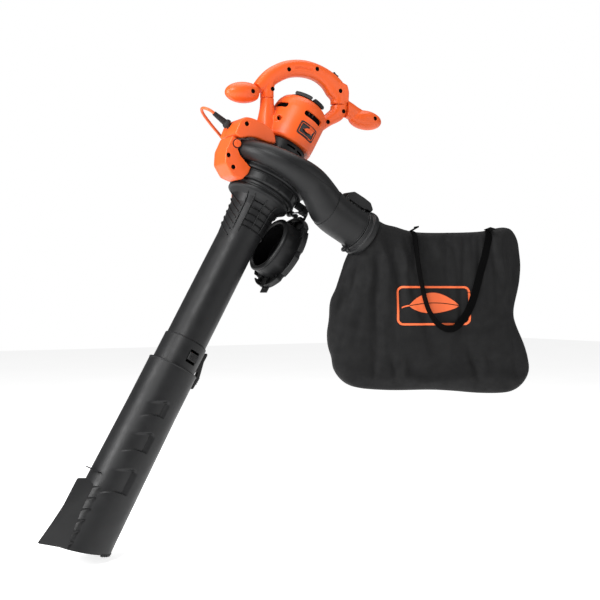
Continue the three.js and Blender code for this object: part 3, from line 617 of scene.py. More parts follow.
def make_arch():
    corner = prism("corner", softened([(196, 278), (213, 286), (234, 279), (239, 262), (237.5, 236), (214, 236)], 4),
                   -HALF_DEPTH + 0.6, HALF_DEPTH - 0.6, edge=6)
    body = fused([limb("arch", ARCH), limb("leg", BAIL_LEG), corner], 1.2, 5)
    groove = pipe("groove", [(84, -HALF_DEPTH - 1, 303, 2.8), (108, -HALF_DEPTH - 1, 306, 2.8),
                             (133, -HALF_DEPTH - 1, 305, 2.8)], UPRIGHT, 16, 6)
    switch_line = pipe("line", [(160, -HALF_DEPTH - 0.1, 304, 0.7), (178, -HALF_DEPTH - 0.1, 298, 0.7),
                                (194, -HALF_DEPTH - 0.1, 287, 0.7)], UPRIGHT, 12, 6)
    carve(body, [*screw_mouths("bail"), groove, switch_line])
    near, far = halves(body, ("bail_shell_near", "bail_shell_far"))
    dressed(near, "blower", ORANGE, ["bail_handle_near"])
    dressed(far, "blower", ORANGE, ["bail_handle_far"])


def make_grips():
    left = fused([ovoid("left_grip", (-45, 0, 234), (46, 25, 24.5), -4)], 1.2, 3)
    trimmed(left, (-10.4, 0, 0), (1, 0, 0))
    carve(left, screw_mouths("left_grip"))
    arm = limb("arm", [(230, 226, 21, 16), (246, 220, 20, 15.5), (262, 213, 19, 15), (290, 202, 18, 14)])
    right = fused([ovoid("right_grip", (294, 0, 200), (47, 24, 24), 3), arm], 1.2, 5)
    trimmed(right, (236.9, 0, 0), (-1, 0, 0))
    carve(right, screw_mouths("right_grip"))
    for body, side in ((left, "left"), (right, "right")):
        near, far = halves(body, (f"{side}_grip_shell_near", f"{side}_grip_shell_far"))
        dressed(near, "blower", ORANGE, [f"{side}_grip_near"])
        dressed(far, "blower", ORANGE, [f"{side}_grip_far"])


def barrel_profile():
    r = BARREL_RADIUS
    return [(0, 132), (r - 4, 132), (r - 1, 137), (r, 160), (r, 216), (r - 3, 232), (r - 10, 244),
            (r - 20, 250), (0, 250)]


def make_housing():
    body = fused([
        turned("barrel", barrel_profile(), soft=4),
        prism("rear", softened(REAR_SHAPE, 9), *REAR_HALF, matrix=TOOL, edge=6),
        limb("left_leg", LEFT_LEG),
        limb("strut", STRUT),
        turned("boss", [(0, -33), (9, -33), (11, 0), (0, 0)], UPRIGHT, 48, 2, at=(33, 0, 177), along=(0, 1, 0)),
    ], 1.3, 6)
    slots = [
        wrapped("slot", -168, 209, (54, 14), (56, 80), 6),
        wrapped("slot", -81, 209, (60, 14), (56, 80), 6),
        wrapped("slot", 81, 209, (60, 14), (56, 80), 6),
    ]
    label_seat = wrapped("seat", -82, 171, (52.5, 34.5), (64.7, 80), 5)
    mouth = turned("mouth", [(0, 246), (46, 246), (46, 270), (0, 270)], soft=0)
    neck = turned("neck", [(0, 80), (NECK_RADIUS + 0.6, 80), (NECK_RADIUS + 0.6, 138), (0, 138)], soft=0)
    gland_hole = turned("hole", [(0, -14), (8.6, -14), (8.6, 30), (0, 30)], UPRIGHT, 64, 0,
                        at=GLAND_ROOT, along=GLAND_DIRECTION)
    carve(body, [*slots, label_seat, mouth, neck, gland_hole, *screw_mouths("housing")])
    carve(body, [scroll_room()])
    near, far = halves(body, ("housing_shell_near", "housing_shell_far"))
    dressed(near, "blower", ORANGE, ["motor_housing_near"])
    dressed(far, "blower", ORANGE, ["motor_housing_far"])
    # A near-black ring behind the barrel's slots: painted shade where the slots look into the housing.
    slot_shade = turned("motor_slot_shade", [(52, 194), (60.5, 194), (60.5, 224), (52, 224)])
    dressed(slot_shade, "blower", PAINTED_SHADE)


def make_pod():
    body = fused([prism("pod", softened(POD_SHAPE, 5), *POD_HALF, matrix=TOOL, edge=4.5)], 1.1, 3)
    collar_room = turned("collar", [(0, -40), (78, -40), (78, 1), (0, 1)], soft=0)
    carve(body, [scroll_room()])
    carve(body, [collar_room, *screw_mouths("pod")])
    near, far = halves(body, ("pod_shell_near", "pod_shell_far"))
    dressed(near, "blower", ORANGE, ["control_pod_near"])
    dressed(far, "blower", ORANGE, ["control_pod_far"])


DIAL_AT = (-127, 50)


def make_dial():
    """The speed wheel, ridged for a thumb."""
    rings = []
    for y in (-58, -57.2, -53.2, -52.4):
        ring = []
        for k in range(144):
            turn = 2 * math.pi * k / 144
            ridge = 0.8 * math.cos(18 * turn)
            radius = 8.1 + ridge if -58 < y < -52.4 else 7.4
            ring.append((DIAL_AT[0] + radius * math.cos(turn), y, DIAL_AT[1] + radius * math.sin(turn)))
        rings.append(ring)
    wheel = skin("speed_wheel", rings, TOOL)
    mark = block("mark", (DIAL_AT[0] - 6.2, -58.9, DIAL_AT[1] - 0.6),
                 (DIAL_AT[0] - 1.5, -57.4, DIAL_AT[1] + 0.6), edge=0.2)
    dressed(joined([wheel, mark]), "speed_wheel", ORANGE, ["speed_dial"])
    seat = turned("dial_seat", [(0, 0), (10.6, 0), (10.6, 1.2), (0, 1.2)], TOOL, 64, 0.3,
                  at=(DIAL_AT[0], -52.9, DIAL_AT[1]), along=(0, 1, 0))
    dressed(seat, "blower", RUBBER)


def make_gland():
    profile = [(4, -6), (7.6, -6), (7.6, 2), (11, 2.5), (11.2, 6), (9.6, 10)]
    steps = 7
    for i in range(steps):
        z = 12 + i * 4.6
        r = 7.3 - 0.28 * i
        profile += [(r, z), (r, z + 3.2), (r - 0.9, z + 3.5), (r - 0.9, z + 4.3)]
    profile += [(5.1, GLAND_LENGTH), (4, GLAND_LENGTH)]
    gland = turned("gland", profile, UPRIGHT, 64, 0.3, at=GLAND_ROOT, along=GLAND_DIRECTION)
    dressed(gland, "blower", RUBBER, ["cable_gland"])


# ------------------------------------------------------------------ the generic leaf mark
def mark_strips(width, height, corner, line, leaf=1.0):
    """The mark's strips in the flat: a rounded frame, and a leaf in two halves with a stalk."""
    def frame_loop(inset):
        x, y, r = width / 2 - inset, height / 2 - inset, max(corner - inset, 0.2)
        loop = []
        for quarter, (sx, sy) in enumerate(((1, 1), (-1, 1), (-1, -1), (1, -1))):
            loop += [(sx * (x - r) + r * math.cos(math.radians(90 * quarter + 15 * k)),
                      sy * (y - r) + r * math.sin(math.radians(90 * quarter + 15 * k)))
                     for k in range(7)]
        dense = []
        for i, a in enumerate(loop):
            b = loop[(i + 1) % len(loop)]
            parts = 1 + 25 * (i % 7 == 6)
            dense += [(a[0] + (b[0] - a[0]) * k / parts, a[1] + (b[1] - a[1]) * k / parts)
                      for k in range(parts)]
        return dense + dense[:1]
    strips = [(frame_loop(0), frame_loop(line))]
    reach, belly, vein = leaf * width * 0.34, leaf * height * 0.25, line * 0.4
    for side in (1, -1):
        spine, edge = [], []
        for i in range(25):
            t = i / 24
            x = -reach + 2 * reach * t
            bend = height * 0.07 * math.sin(math.pi * t)
            bulge = belly * math.sin(math.pi * t) ** 0.8 * (1.15 - 0.3 * t)
            spine.append((x, bend + side * vein / 2))
            edge.append((x - side * 0, bend + side * (vein / 2 + bulge)))
        strips.append((spine, edge))
    stalk = [(-reach * (1 + 0.28 * i / 6), -height * 0.05 * (i / 6) ** 2) for i in range(7)]
    strips.append(([(x, y + line * 0.3) for x, y in stalk], [(x, y - line * 0.3) for x, y in stalk]))
    return strips


def make_mark(name, place, width, height, corner, line, lift, body, material, leaf=1.0):
    """Raises the mark on a surface: place(x, y, lift) gives the point in the row frame."""
    vertices, faces = [], []
    across = 4
    for a, b in mark_strips(width, height, corner, line, leaf):
        first = len(vertices)
        for p, q in zip(a, b):
            row = [(p[0] + (q[0] - p[0]) * k / across, p[1] + (q[1] - p[1]) * k / across)
                   for k in range(across + 1)]
            vertices += [place(x, y, lift) for x, y in row]
            vertices += [place(x, y, -0.6) for x, y in row]
        wide = across + 1
        span = 2 * wide
        for i in range(len(a) - 1):
            here, there = first + i * span, first + (i + 1) * span
            for k in range(across):
                faces.append((here + k, here + k + 1, there + k + 1, there + k))
                faces.append((here + wide + k + 1, here + wide + k, there + wide + k, there + wide + k + 1))
            for edge in (0, across):
                faces.append((here + edge, there + edge, there + wide + edge, here + wide + edge))
        for end in (first, first + (len(a) - 1) * span):
            for k in range(across):
                faces.append((end + k, end + wide + k, end + wide + k + 1, end + k + 1))
    mark = mesh_object(name, vertices, faces, Matrix.Identity(4))
    return dressed(mark, body, material)


def make_badge():
    plate = wrapped("badge", -82, 171, (51.5, 33.5), (64.2, BARREL_RADIUS + 1.1), 4.6)
    dressed(plate, "blower", GLOSS_BLACK, ["badge_plate"])

    def place(x, y, lift):
        turn = math.radians(-82) + x / BARREL_RADIUS
        radius = BARREL_RADIUS + 1.1 + lift
        return TOOL @ Vector((radius * math.cos(turn), radius * math.sin(turn), 171 + y))

    make_mark("badge_mark", place, 44, 26, 4, 1.0, 0.5, "blower", ORANGE, leaf=0.72)


# ------------------------------------------------------------------ motor mount, vent cap, scroll
def make_motor_mount():
    body = turned("motor_neck", [(49, 84), (79, 83.5), (79, 85.7), (60, 86.5), (54, 90), (NECK_RADIUS, 97),
                                 (NECK_RADIUS, 140), (49, 140)], soft=1.5)
    windows = [wrapped("window", angle, 122, (24, 5), (45, 60), 2) for angle in (-62, -95)]
    windows += [wrapped("window", angle, 114, (24, 5), (45, 60), 2) for angle in (-62,)]
    carve(body, windows)
    ribs = [wrapped("rib", angle, 104, (2.4, 16), (50, 55.5), 1) for angle in range(-150, 180, 30)]
    # A near-black sleeve inside the neck: painted shade seen behind its windows.
    dark = turned("inside", [(44, 90), (47.5, 90), (47.5, 140), (44, 140)])
    dressed(joined([body, *ribs]), "blower", BLACK, ["motor_mount"])
    dressed(dark, "blower", PAINTED_SHADE)


def make_vent_cap():
    """A low grille with two raised louvres on each side."""
    cap = turned("vent_cap", [(0, 244), (39.6, 244), (39.6, 250.4), (46, 250.4), (45, 252.4), (36, 254),
                              (0, 254)], soft=1)
    cuts = [wrapped("cut", angle, 252, (7, 12), (12, 30), 2) for angle in range(0, 360, 30)]
    carve(cap, cuts)
    louvres = []
    for side in (-1, 1):
        louvres.append(wrapped("louvre", side * 128, 253.4, (40, 8.2), (38, 51.5), 3))
        louvres.append(wrapped("louvre", side * 76, 253.4, (32, 8.2), (38, 51.5), 3))
    grille = joined([cap, *louvres])
    dressed(grille, "blower", BLACK, ["rear_vent_cap"])


VOLUTE_START = -40
VOLUTE_SWEEP = 325


def volute_stations():
    stations = []
    for i in range(27):
        share = i / 26
        angle = math.radians(VOLUTE_START + VOLUTE_SWEEP * share)
        radius = 9 + 16 * share + 10 * share ** 8
        reach = SCROLL_THROAT + radius
        stations.append((reach * math.cos(angle), reach * math.sin(angle), SCROLL_CENTRE, radius))
    return stations


def make_scroll():
    exit_run = [(60, -113, 51.5, 38), (90, -111.5, 40, 41.5), (118, DUCT_V, 27, 44.6), (126, DUCT_V, 25, 45)]
    body = fused([
        pipe("volute", [*volute_stations(), *exit_run], TOOL, 64, 5),
        turned("drum", [(60, 24), (91.6, 24), (92, 28), (92, 82), (90, 86), (60, 86)], soft=2),
        turned("neck", [(72.5, 0.6), (80, 0.6), (83, 4), (83, 30), (72.5, 30)], soft=1),
    ], 1.5, 7)
    trimmed(body, (118, 0, 0), (1, 0, 0), TOOL)
    hollow = [pipe("bore", [(60, -113, 51.5, 35), (90, -111.5, 40, 38.5), (118, DUCT_V, 27, 41.6),
                            (140, DUCT_V, 22, 42)], TOOL, 48, 5)]
    carve(body, hollow)
    upper, lower = body, copied(body, "scroll_shell_lower")
    upper.name = "scroll_shell_upper"
    trimmed(upper, (0, 0, SCROLL_CENTRE + SEAM), (0, 0, -1), TOOL)
    trimmed(lower, (0, 0, SCROLL_CENTRE - SEAM), (0, 0, 1), TOOL)
    lugs = []
    for v in (-40, 27):
        lugs.append(block("lug", (78, v, 8), (HINGE[0] + 2, v + 9, 26), edge=2))
        lugs.append(turned("eye", [(2.8, 0), (7, 0), (7, 9), (2.8, 9)], TOOL, 48, 0.5,
                           at=(HINGE[0], v, HINGE[1]), along=(0, 1, 0)))
    lugs.append(turned("pin_head", [(0, 0), (7.5, 0), (8.5, 1.6), (8.5, 4.4), (0, 4.4)], TOOL, 48, 1,
                       at=(HINGE[0], -44.6, HINGE[1]), along=(0, 1, 0)))
    ribs = []
    for angle in (-152, -120, -88, -56, -24):
        ribs.append(wrapped("rib", angle, 13, (1.8, 22), (80, 84.2), 0.6))
    ribs.append(wrapped("panel", -104, 13, (30, 13), (80, 83.8), 2))
    ribs.append(turned("ridge", [(82, 20), (85.5, 20.4), (85.5, 22), (82, 23)], soft=0.4))
    dressed(upper, "blower", BLACK, ["scroll_upper"])
    dressed(joined([lower, *lugs, *ribs]), "blower", BLACK, ["scroll_lower"])


def make_duct():
    """The outlet, with its moulded rings and the ears of the bag lever."""
    inner, outer = [], []
    stations = [(118.3, DUCT_V, 27, 46.6), (135, DUCT_V, 24, 46.8), (152, DUCT_V, DUCT_W, 46.6),
                (190, DUCT_V, DUCT_W, 46.3), (228, DUCT_V, DUCT_W, 46)]
    body = pipe("duct_shell", [(112, DUCT_V, 28.6, 46.4), *stations], TOOL, 96, 6)
    bore = pipe("bore", [(104, DUCT_V, 30.5, 42), *((x, y, z, r - 3.2) for x, y, z, r in stations),
                         (240, DUCT_V, DUCT_W, 42.6)], TOOL, 96, 6)
    carve(body, [bore])
    trimmed(body, (118.03, 0, 0), (-1, 0, 0), TOOL)
    rings = [turned("ring", [(45, z), (48.2, z + 0.8), (48.2, z + 3), (45, z + 3.8)], TOOL, 96, 0.7,
                    at=(0, DUCT_V, DUCT_W), along=(1, 0, 0)) for z in (206,)]
    seats = [block("seat", (146.5, DUCT_V + dv, 66), (157.5, DUCT_V + dv + 5, 78), edge=1.4)
             for dv in (-12, 7)]
    dressed(joined([body, *rings, *seats]), "blower", BLACK, ["outlet_duct"])


def make_collar():
    r = 47
    body = turned("collar_ring", [(r, -18), (r + 3, -18), (r + 4, -15), (r + 4, -8), (r + 8, -7), (r + 9.4, -3),
                                  (r + 9.4, 4), (r + 7.5, 8.6), (r - 4, 9), (r - 4, 0.4), (r, 0.4)],
                  TOOL, 128, 1.8,
                  at=(228, DUCT_V, DUCT_W), along=(1, 0, 0))
    hook = block("hook", (202, DUCT_V - 4, -32), (220, DUCT_V + 4, -25.5), edge=1.5)
    eye = turned("eye", [(2.5, -4), (5.5, -4), (5.5, 4), (2.5, 4)], TOOL, 32, 0.6,
                 at=(205, DUCT_V, -35), along=(0, 1, 0))
    dressed(joined([body, hook, eye]), "blower", BLACK, ["bag_collar"])


LEVER_SIDE = [(146, 73), (145.5, 83), (160, 94.5), (190, 96), (211, 95), (224.5, 84), (222, 75.5),
              (207, 75.5), (205, 71), (160, 70.6)]


def make_lever():
    body = prism("bag_lever", LEVER_SIDE, DUCT_V - 13, DUCT_V + 13, TOOL, 2.6, 5)
    slots = [block("slot", (140, DUCT_V + dv, 60), (160.5, DUCT_V + dv + 5.8, 81), edge=0)
             for dv in (-12.4, 6.6)]
    grip = [block("rib", (172 + 7 * i, DUCT_V - 9, 94.6), (174.4 + 7 * i, DUCT_V + 9, 96.6), edge=0.7)
            for i in range(5)]
    carve(body, slots)
    dressed(joined([body, *grip]), "bag_lever", BLACK, ["bag_release_lever"])


# ------------------------------------------------------------------ inlet cover
HINGE = (104, 12)
COVER_SWING = math.radians(-90)
COVER_FRAME = (TOOL @ Matrix.Translation((HINGE[0], 0, HINGE[1])) @ Matrix.Rotation(COVER_SWING, 4, "Y")
               @ Matrix.Translation((-HINGE[0], 0, -HINGE[1])))


def make_inlet_cover():
    """Drawn shut under the inlet, facing up, with its hinge on the right."""
    top = -1
    radius, skirt, height = 94, 69, 44
    lid = turned("lid", [(skirt - 8, top - 3.5), (radius, top - 3.5), (radius, top), (skirt - 8, top)],
                 COVER_FRAME, 160, 1)
    scallops = [turned("scallop", [(0, -30), (9, -30), (9, 10), (0, 10)], COVER_FRAME, 48, 0,
                       at=((radius + 4) * math.cos(math.radians(a)), (radius + 4) * math.sin(math.radians(a)), 0))
                for a in (50 + 43 * i for i in range(7))]
    carve(lid, scallops)
    wall = turned("wall", [(skirt - 6, top - 2), (skirt, top - 2), (skirt - 1, height - 9), (skirt + 1, height - 5),
                           (skirt - 3, height), (skirt - 9, height), (skirt - 13, height - 5),
                           (skirt - 10, height - 10)], COVER_FRAME, 160, 3)
    dish = turned("dish", [(0, top + 7), (skirt - 20, top + 7), (skirt - 5, top - 0.5), (skirt - 5, top - 3.5),
                           (skirt - 20, top + 3.5), (0, top + 3.5)], COVER_FRAME, 160, 2)
    lug = block("lug", (-106, -16, top - 3.5), (-86, 16, top), COVER_FRAME, 1.5)
    carve(lug, [turned("hole", [(0, -20), (4, -20), (4, 5), (0, 5)], COVER_FRAME, 32, 0, at=(-98, 0, 0))])
    knuckles = []
    for v in (-29.5, 16.5):
        knuckles.append(block("arm", (78, v, top - 3.5), (HINGE[0] + 5, v + 9, top), COVER_FRAME))
        knuckles.append(block("arm", (HINGE[0] - 5, v, top - 3.5), (HINGE[0] + 5, v + 9, HINGE[1] - 4),
                              COVER_FRAME))
        knuckles.append(turned("eye", [(2.8, 0), (6, 0), (6, 9), (2.8, 9)], COVER_FRAME, 48, 0.5,
                               at=(HINGE[0], v, HINGE[1]), along=(0, 1, 0)))
    knuckles.append(block("web", (84, -20.5, top - 3.5), (97, 16.5, top + 7), COVER_FRAME, 2))
    ribs = []
    for k in range(12):
        angle = math.radians(30 * k)
        spoke = COVER_FRAME @ Matrix.Rotation(angle, 4, "Z")
        ribs.append(block("spoke", (skirt - 1, -0.9, top - 1), (radius - 7, 0.9, top + 5), spoke, 0.4))
    rim = turned("rim", [(radius - 4, top - 1), (radius - 0.5, top - 1), (radius - 1, top + 9),
                         (radius - 2, top + 9.6), (radius - 3.4, top + 9)], COVER_FRAME, 160, 0.5)
    carve(rim, [turned("scallop", [(0, -30), (10.5, -30), (10.5, 10), (0, 10)], COVER_FRAME, 48, 0,
                       at=((radius + 4) * math.cos(math.radians(a)),
                           (radius + 4) * math.sin(math.radians(a)), 0))
                for a in (50 + 43 * i for i in range(7))])
    cover = joined([lid, wall, dish, lug, *knuckles, *ribs, rim])
    cover.name = "cover"
    dressed(cover, "inlet_cover", BLACK, ["inlet_cover"])


# ------------------------------------------------------------------ vacuum tubes
def tube_upper_profile():
    collar, radius, sleeve = 76, 47.3, 50.4
    socket = 51.7
    return [(collar - 11, 0), (collar, 0), (collar, -6), (collar - 4, -7), (collar - 4, -11),
            (collar - 1, -12), (collar - 1, -17), (collar - 7, -20), (collar - 17, -30), (53, -48),
            (50, -90), (radius, -130), (radius, -388), (sleeve, -390), (sleeve, -452), (socket, -456),
            (socket, -480), (socket - 3, -480), (radius - 3, -388), (radius - 3, -130), (49, -48),
            (collar - 20, -30)]


CONE = [(-130, 47.3), (-90, 50), (-48, 53), (-30, 59), (-20, 69)]


def cone_radius(w):
    """The outside of the upper tube where it widens towards its collar."""
    for (low, narrow), (high, wide) in zip(CONE, CONE[1:]):
        if w <= high:
            return narrow + (wide - narrow) * (w - low) / (high - low)
    return CONE[-1][1]


def fin(name, points, thickness, angle):
    """A fin standing out of the tube, at an angle round it."""
    return prism(name, points, -thickness / 2, thickness / 2,
                 TOOL @ Matrix.Rotation(math.radians(angle), 4, "Z"), 0.6, 3)


def make_upper_tube():
    body = turned("tube_upper", tube_upper_profile(), soft=1.2, segments=160)
    lock_window = wrapped("window", -75, -422, (28, 30), (44, 60), 2)
    latch_window = block("window", (44, -7, -440), (60, 7, -386), edge=0)
    carve(body, [lock_window, latch_window])
    fins = []
    for angle, end in ((-138, -122), (-121, -122), (-92, -104), (-64, -104), (-36, -104), (0, -110), (40, -110),
                       (80, -110), (120, -110)):
        run = range(end, -21, 6)
        spine = [(cone_radius(w) + 2.8 * min(1, (w - end) / 14), w) for w in run]
        root = [(cone_radius(w) - 1.5, w) for w in reversed(run)]
        fins.append(fin("fin", [*spine, *root], 2.2, angle))
    for w in (-38, -54, -70, -86, -100):
        reach = cone_radius(w) + 2.2
        fins.append(wrapped("hoop", -40, w, (2 * reach * math.radians(78), 2.4), (reach - 4, reach), 0.8))
    for i in range(6):
        rungs = []
        for k in range(9):
            w = -26 - 15 * i - 34 * k / 8
            turn = math.radians(-206 + 62 * k / 8)
            reach = cone_radius(max(w, -128)) + 0.7
            rungs.append((reach * math.cos(turn), reach * math.sin(turn), w, 1.6))
        fins.append(pipe("brace", rungs, TOOL, 10, 2))
    dressed(joined([body, *fins]), "blower", BLACK, ["vac_tube_upper"])


def nozzle_radius(w):
    share = min(max((w + 560) / (-915 + 560), 0), 1)
    return 57.3 + (62 - 57.3) * share


RELIEF_ANGLE = -104
RELIEF_DEPTH = 6.6
RELIEFS = [(-541, 38, 27), (-616, 46, 29), (-701, 58, 31)]


def relief_depth(across, drop, length):
    """A finger relief: level edges on the sloping tube, deepest by its right wall, stepped at its foot."""
    if not -1 < across < 1:
        return 0
    top = 13 * across - 10 * max(0, (across - 0.5) / 0.5) ** 2
    foot = -length + 13 * across + 5 * (1 - across ** 2) - 5 * max(0, across)
    if not foot < -drop < top:
        return 0
    scoop = ((across + 1) / 1.6) ** 1.4 if across < 0.6 else (1 - across) / 0.4
    lead = min(1, (top + drop) / 5)
    step = min(1, (-drop - foot) / 1.2)
    return RELIEF_DEPTH * scoop * lead * step


def make_lower_tube():
    """The nozzle, with three stepped finger reliefs and a slanting mouth."""
    sides, rows = 240, 420
    top, bottom = -453, -905
    outer, inner = [], []
    for i in range(rows + 1):
        w = top + (bottom - top) * i / rows
        ring_out, ring_in = [], []
        for k in range(sides):
            turn = -math.pi + 2 * math.pi * k / sides
            radius = nozzle_radius(w)
            if w > top - 3:
                radius -= 1.2 * (1 - (top - w) / 3)
            depth = 0
            for start, length, width in RELIEFS:
                across = (turn - math.radians(RELIEF_ANGLE)) * radius / width
                depth = max(depth, relief_depth(across, start - w, length))
            ring_out.append(((radius - depth) * math.cos(turn), (radius - depth) * math.sin(turn), w))
            inside = nozzle_radius(w) - 3.2 - 5.4 * min(1, max(0, (-500 - w) / 20))
            ring_in.append((inside * math.cos(turn), inside * math.sin(turn), w))
        outer.append(ring_out)
        inner.append(ring_in)
    body = skin("tube_lower", [*outer, *reversed(inner)], TOOL, looped=True)
    slope = math.radians(-15 + 0.5)
    trimmed(body, (0, 0, -888), (math.sin(slope) * -1, 0, -math.cos(slope)), TOOL)
    lip = turned("lip", [(55.6, top + 0.2), (57.6, top - 0.4), (58.3, top - 2.2), (57.6, top - 4),
                         (55.6, top - 4.4)], soft=0.5)
    stop = wrapped("stop", 190, -730.7, (50, 2.4), (52, 71), 0.8)
    comb = []
    for i in range(7):
        angle = -62 + 7 * i
        rim = -888 + 0.258 * 60 * math.cos(math.radians(angle))
        comb.append(wrapped("tooth", angle, rim - 0.5, (3.4, 7), (57, 62.6), 1.2))
    dressed(joined([body, lip, stop, *comb]), "blower", BLACK, ["vac_tube_lower"])


def make_tube_lock():
    turn = TOOL @ Matrix.Rotation(math.radians(15), 4, "Z")
    base = block("lock_slide", (-13.3, -52.6, -431), (13.3, -49.3, -413), turn, 1.2)
    ribs = [block("rib", (-10.5, -54.6, -429.3 + 3.4 * i), (10.5, -52, -427.7 + 3.4 * i), turn, 0.5)
            for i in range(5)]
    dressed(joined([base, *ribs]), "tube_lock", RUBBER, ["tube_lock_slide"])


def make_tube_latch():
    side = [(51.5, -396), (58, -390.5), (61, -394), (60.5, -412), (66, -438), (68.5, -452), (66, -477),
            (60.5, -479.5), (59.5, -458), (57.8, -440), (52.5, -436)]
    body = prism("latch_rocker", side, -6, 6, TOOL, 1.4, 4)
    ribs = [block("rib", (65.4, -4.6, -449 - 5 * i), (69.4, 4.6, -447.4 - 5 * i), edge=0.5) for i in range(4)]
    dressed(joined([body, *ribs]), "tube_latch", BLACK, ["tube_latch_rocker"])


# ------------------------------------------------------------------ rake
RAKE_Y = -46


def make_rake():
    outline = [(-453, -618), (-432, -620), (-418, -636), (-446, -687), (-476, -762), (-537, -744),
               (-506, -704), (-483, -672)]
    plate = prism("rake", softened(outline, 4), RAKE_Y - 1.5, RAKE_Y + 1.5, UPRIGHT, 1.1, 4)
    teeth = []
    for i in range(6):
        share = i / 5
        x, z = -424 - 44 * share, -640 - 112 * share
        tooth = [(x - 8, z - 3.4), (x - 8, z + 3.4), (x + 4, z + 2.2), (x + 18, z + 0.7), (x + 18, z - 0.7),
                 (x + 4, z - 1.8)]
        teeth.append(prism("tooth", tooth, RAKE_Y - 1.4, RAKE_Y + 1.4, UPRIGHT, 0.5, 3))
    room = turned("room", [(0, -453), (57.2, -453), (63, -935), (0, -935)], soft=0)
    body = carve(plate, teeth, "UNION")
    carve(body, [room])
    dressed(body, "blower", BLACK, ["leaf_rake"])


# ------------------------------------------------------------------ power switch
def make_switch():
    turn = UPRIGHT @ Matrix.Translation((204.9, 0, 300.6)) @ Matrix.Rotation(math.radians(37), 4, "Y")
    body = prism("switch_button", [(-9, 0), (9, 0), (7.4, 5.6), (2, 4.4), (-2, 4.4), (-7.4, 5.6)], -6, 6, turn,
                 1.2, 4)
    ribs = [block("rib", (-6.4 + 4.2 * i, -4.5, 4.6), (-5.2 + 4.2 * i, 4.5, 6.1), turn, 0.3) for i in (0, 3)]
    dressed(joined([body, *ribs]), "switch_button", BLACK, ["power_switch"])


# ------------------------------------------------------------------ bag
BAG_OUTLINE = [(-40, -50), (-57, -100), (-66, -128), (-76, -146), (-79, -190), (-84, -228), (-81, -262),
               (-74, -282), (-66, -318), (-28, -352), (60, -363),
               (180, -364), (300, -374), (370, -367), (406, -325), (400, -268), (372, -205), (368, -170),
               (382, -105), (386, -45), (376, 5), (350, 25), (290, 14), (200, 10), (120, 11), (60, 26),
               (5, 25)]


def bag_blank():
    """The bag before it settles: a cushion over its outline with a throat at the collar."""
    outline = closed_spline(BAG_OUTLINE, 6)
    centre = (165, -170)
    rings = []
    rows = 22
    for i in range(1, 2 * rows):
        turn = math.pi * i / (2 * rows)
        scale = 1 - (1 - math.sin(turn)) ** 1.6
        height = -math.copysign(abs(math.cos(turn)) ** 0.8, math.cos(turn)) * (BAG_DEPTH / 2 - 8)
        rings.append([(centre[0] + (x - centre[0]) * scale, height, centre[1] + (z - centre[1]) * scale)
                      for x, z in outline])
    cushion = skin("bag", rings, BAG_FRAME)
    along = BAG_FRAME.to_3x3().inverted() @ (TOOL.to_3x3() @ Vector((1, 0, 0)))
    start = BAG_FRAME.inverted() @ (TOOL @ Vector((236.5, DUCT_V, DUCT_W)))
    throat = turned("throat", [(0, 0), (49.5, 0), (49.5, 60), (0, 86)], BAG_FRAME, 96, 2, at=start,
                    along=along)
    return fused([cushion, throat], 6, 6)


def near_collar(point):
    return (point - TOOL @ Vector((232, DUCT_V, DUCT_W))).length


FACE_CAP, EDGE_CAP = 0.009, 0.003


def settle(bag):
    """A short cloth run lets the bag sag and crease; no point moves more than its cap."""
    rest = [v.co.copy() for v in bag.data.vertices]
    held = bag.vertex_groups.new(name="held")
    for v in bag.data.vertices:
        height = (BAG_FRAME.inverted() @ v.co).z
        top = 0.85 * max(0, min(1, (height + 12) / 22))
        held.add([v.index], 1.0 if near_collar(v.co) < 0.075 else top, "REPLACE")
    cloth = bag.modifiers.new("cloth", "CLOTH")
    cloth.settings.quality = 6
    cloth.settings.mass = 0.25
    cloth.settings.tension_stiffness = 12
    cloth.settings.compression_stiffness = 10
    cloth.settings.bending_stiffness = 0.3
    cloth.settings.vertex_group_mass = "held"
    cloth.settings.use_pressure = True
    cloth.settings.uniform_pressure_force = 3
    cloth.settings.shrink_min = -0.05
    cloth.settings.effector_weights.gravity = 0.15
    cloth.point_cache.frame_end = 20
    for step in range(1, 21):
        bpy.context.scene.frame_set(step)
    applied(bag)
    bpy.context.scene.frame_set(1)
    turn = BAG_FRAME.to_3x3().normalized()
    back = turn.inverted()
    for v, start in zip(bag.data.vertices, rest):
        x, y, z = back @ (v.co - start)
        across, along = FACE_CAP, EDGE_CAP
        v.co = start + turn @ Vector((max(-along, min(along, x)), max(-across, min(across, y)),
                                      max(-along, min(along, z))))
    return bag


def crease(x, z, line, width, depth):
    """How far one crease, drawn as a line of (x, z), lifts or sinks a point of the face."""
    best, share = 1e9, 0
    total = len(line) - 1
    for i, (a, b) in enumerate(zip(line, line[1:])):
        run = Vector(b) - Vector(a)
        t = max(0, min(1, (Vector((x, z)) - Vector(a)).dot(run) / run.length_squared))
        gap = (Vector((x, z)) - Vector(a) - run * t).length
        if gap < best:
            best, share = gap, (i + t) / total
    fade = math.sin(math.pi * min(1, max(0, 0.08 + 0.84 * share))) ** 0.6
    return depth * fade * math.exp(-(best / width) ** 2)


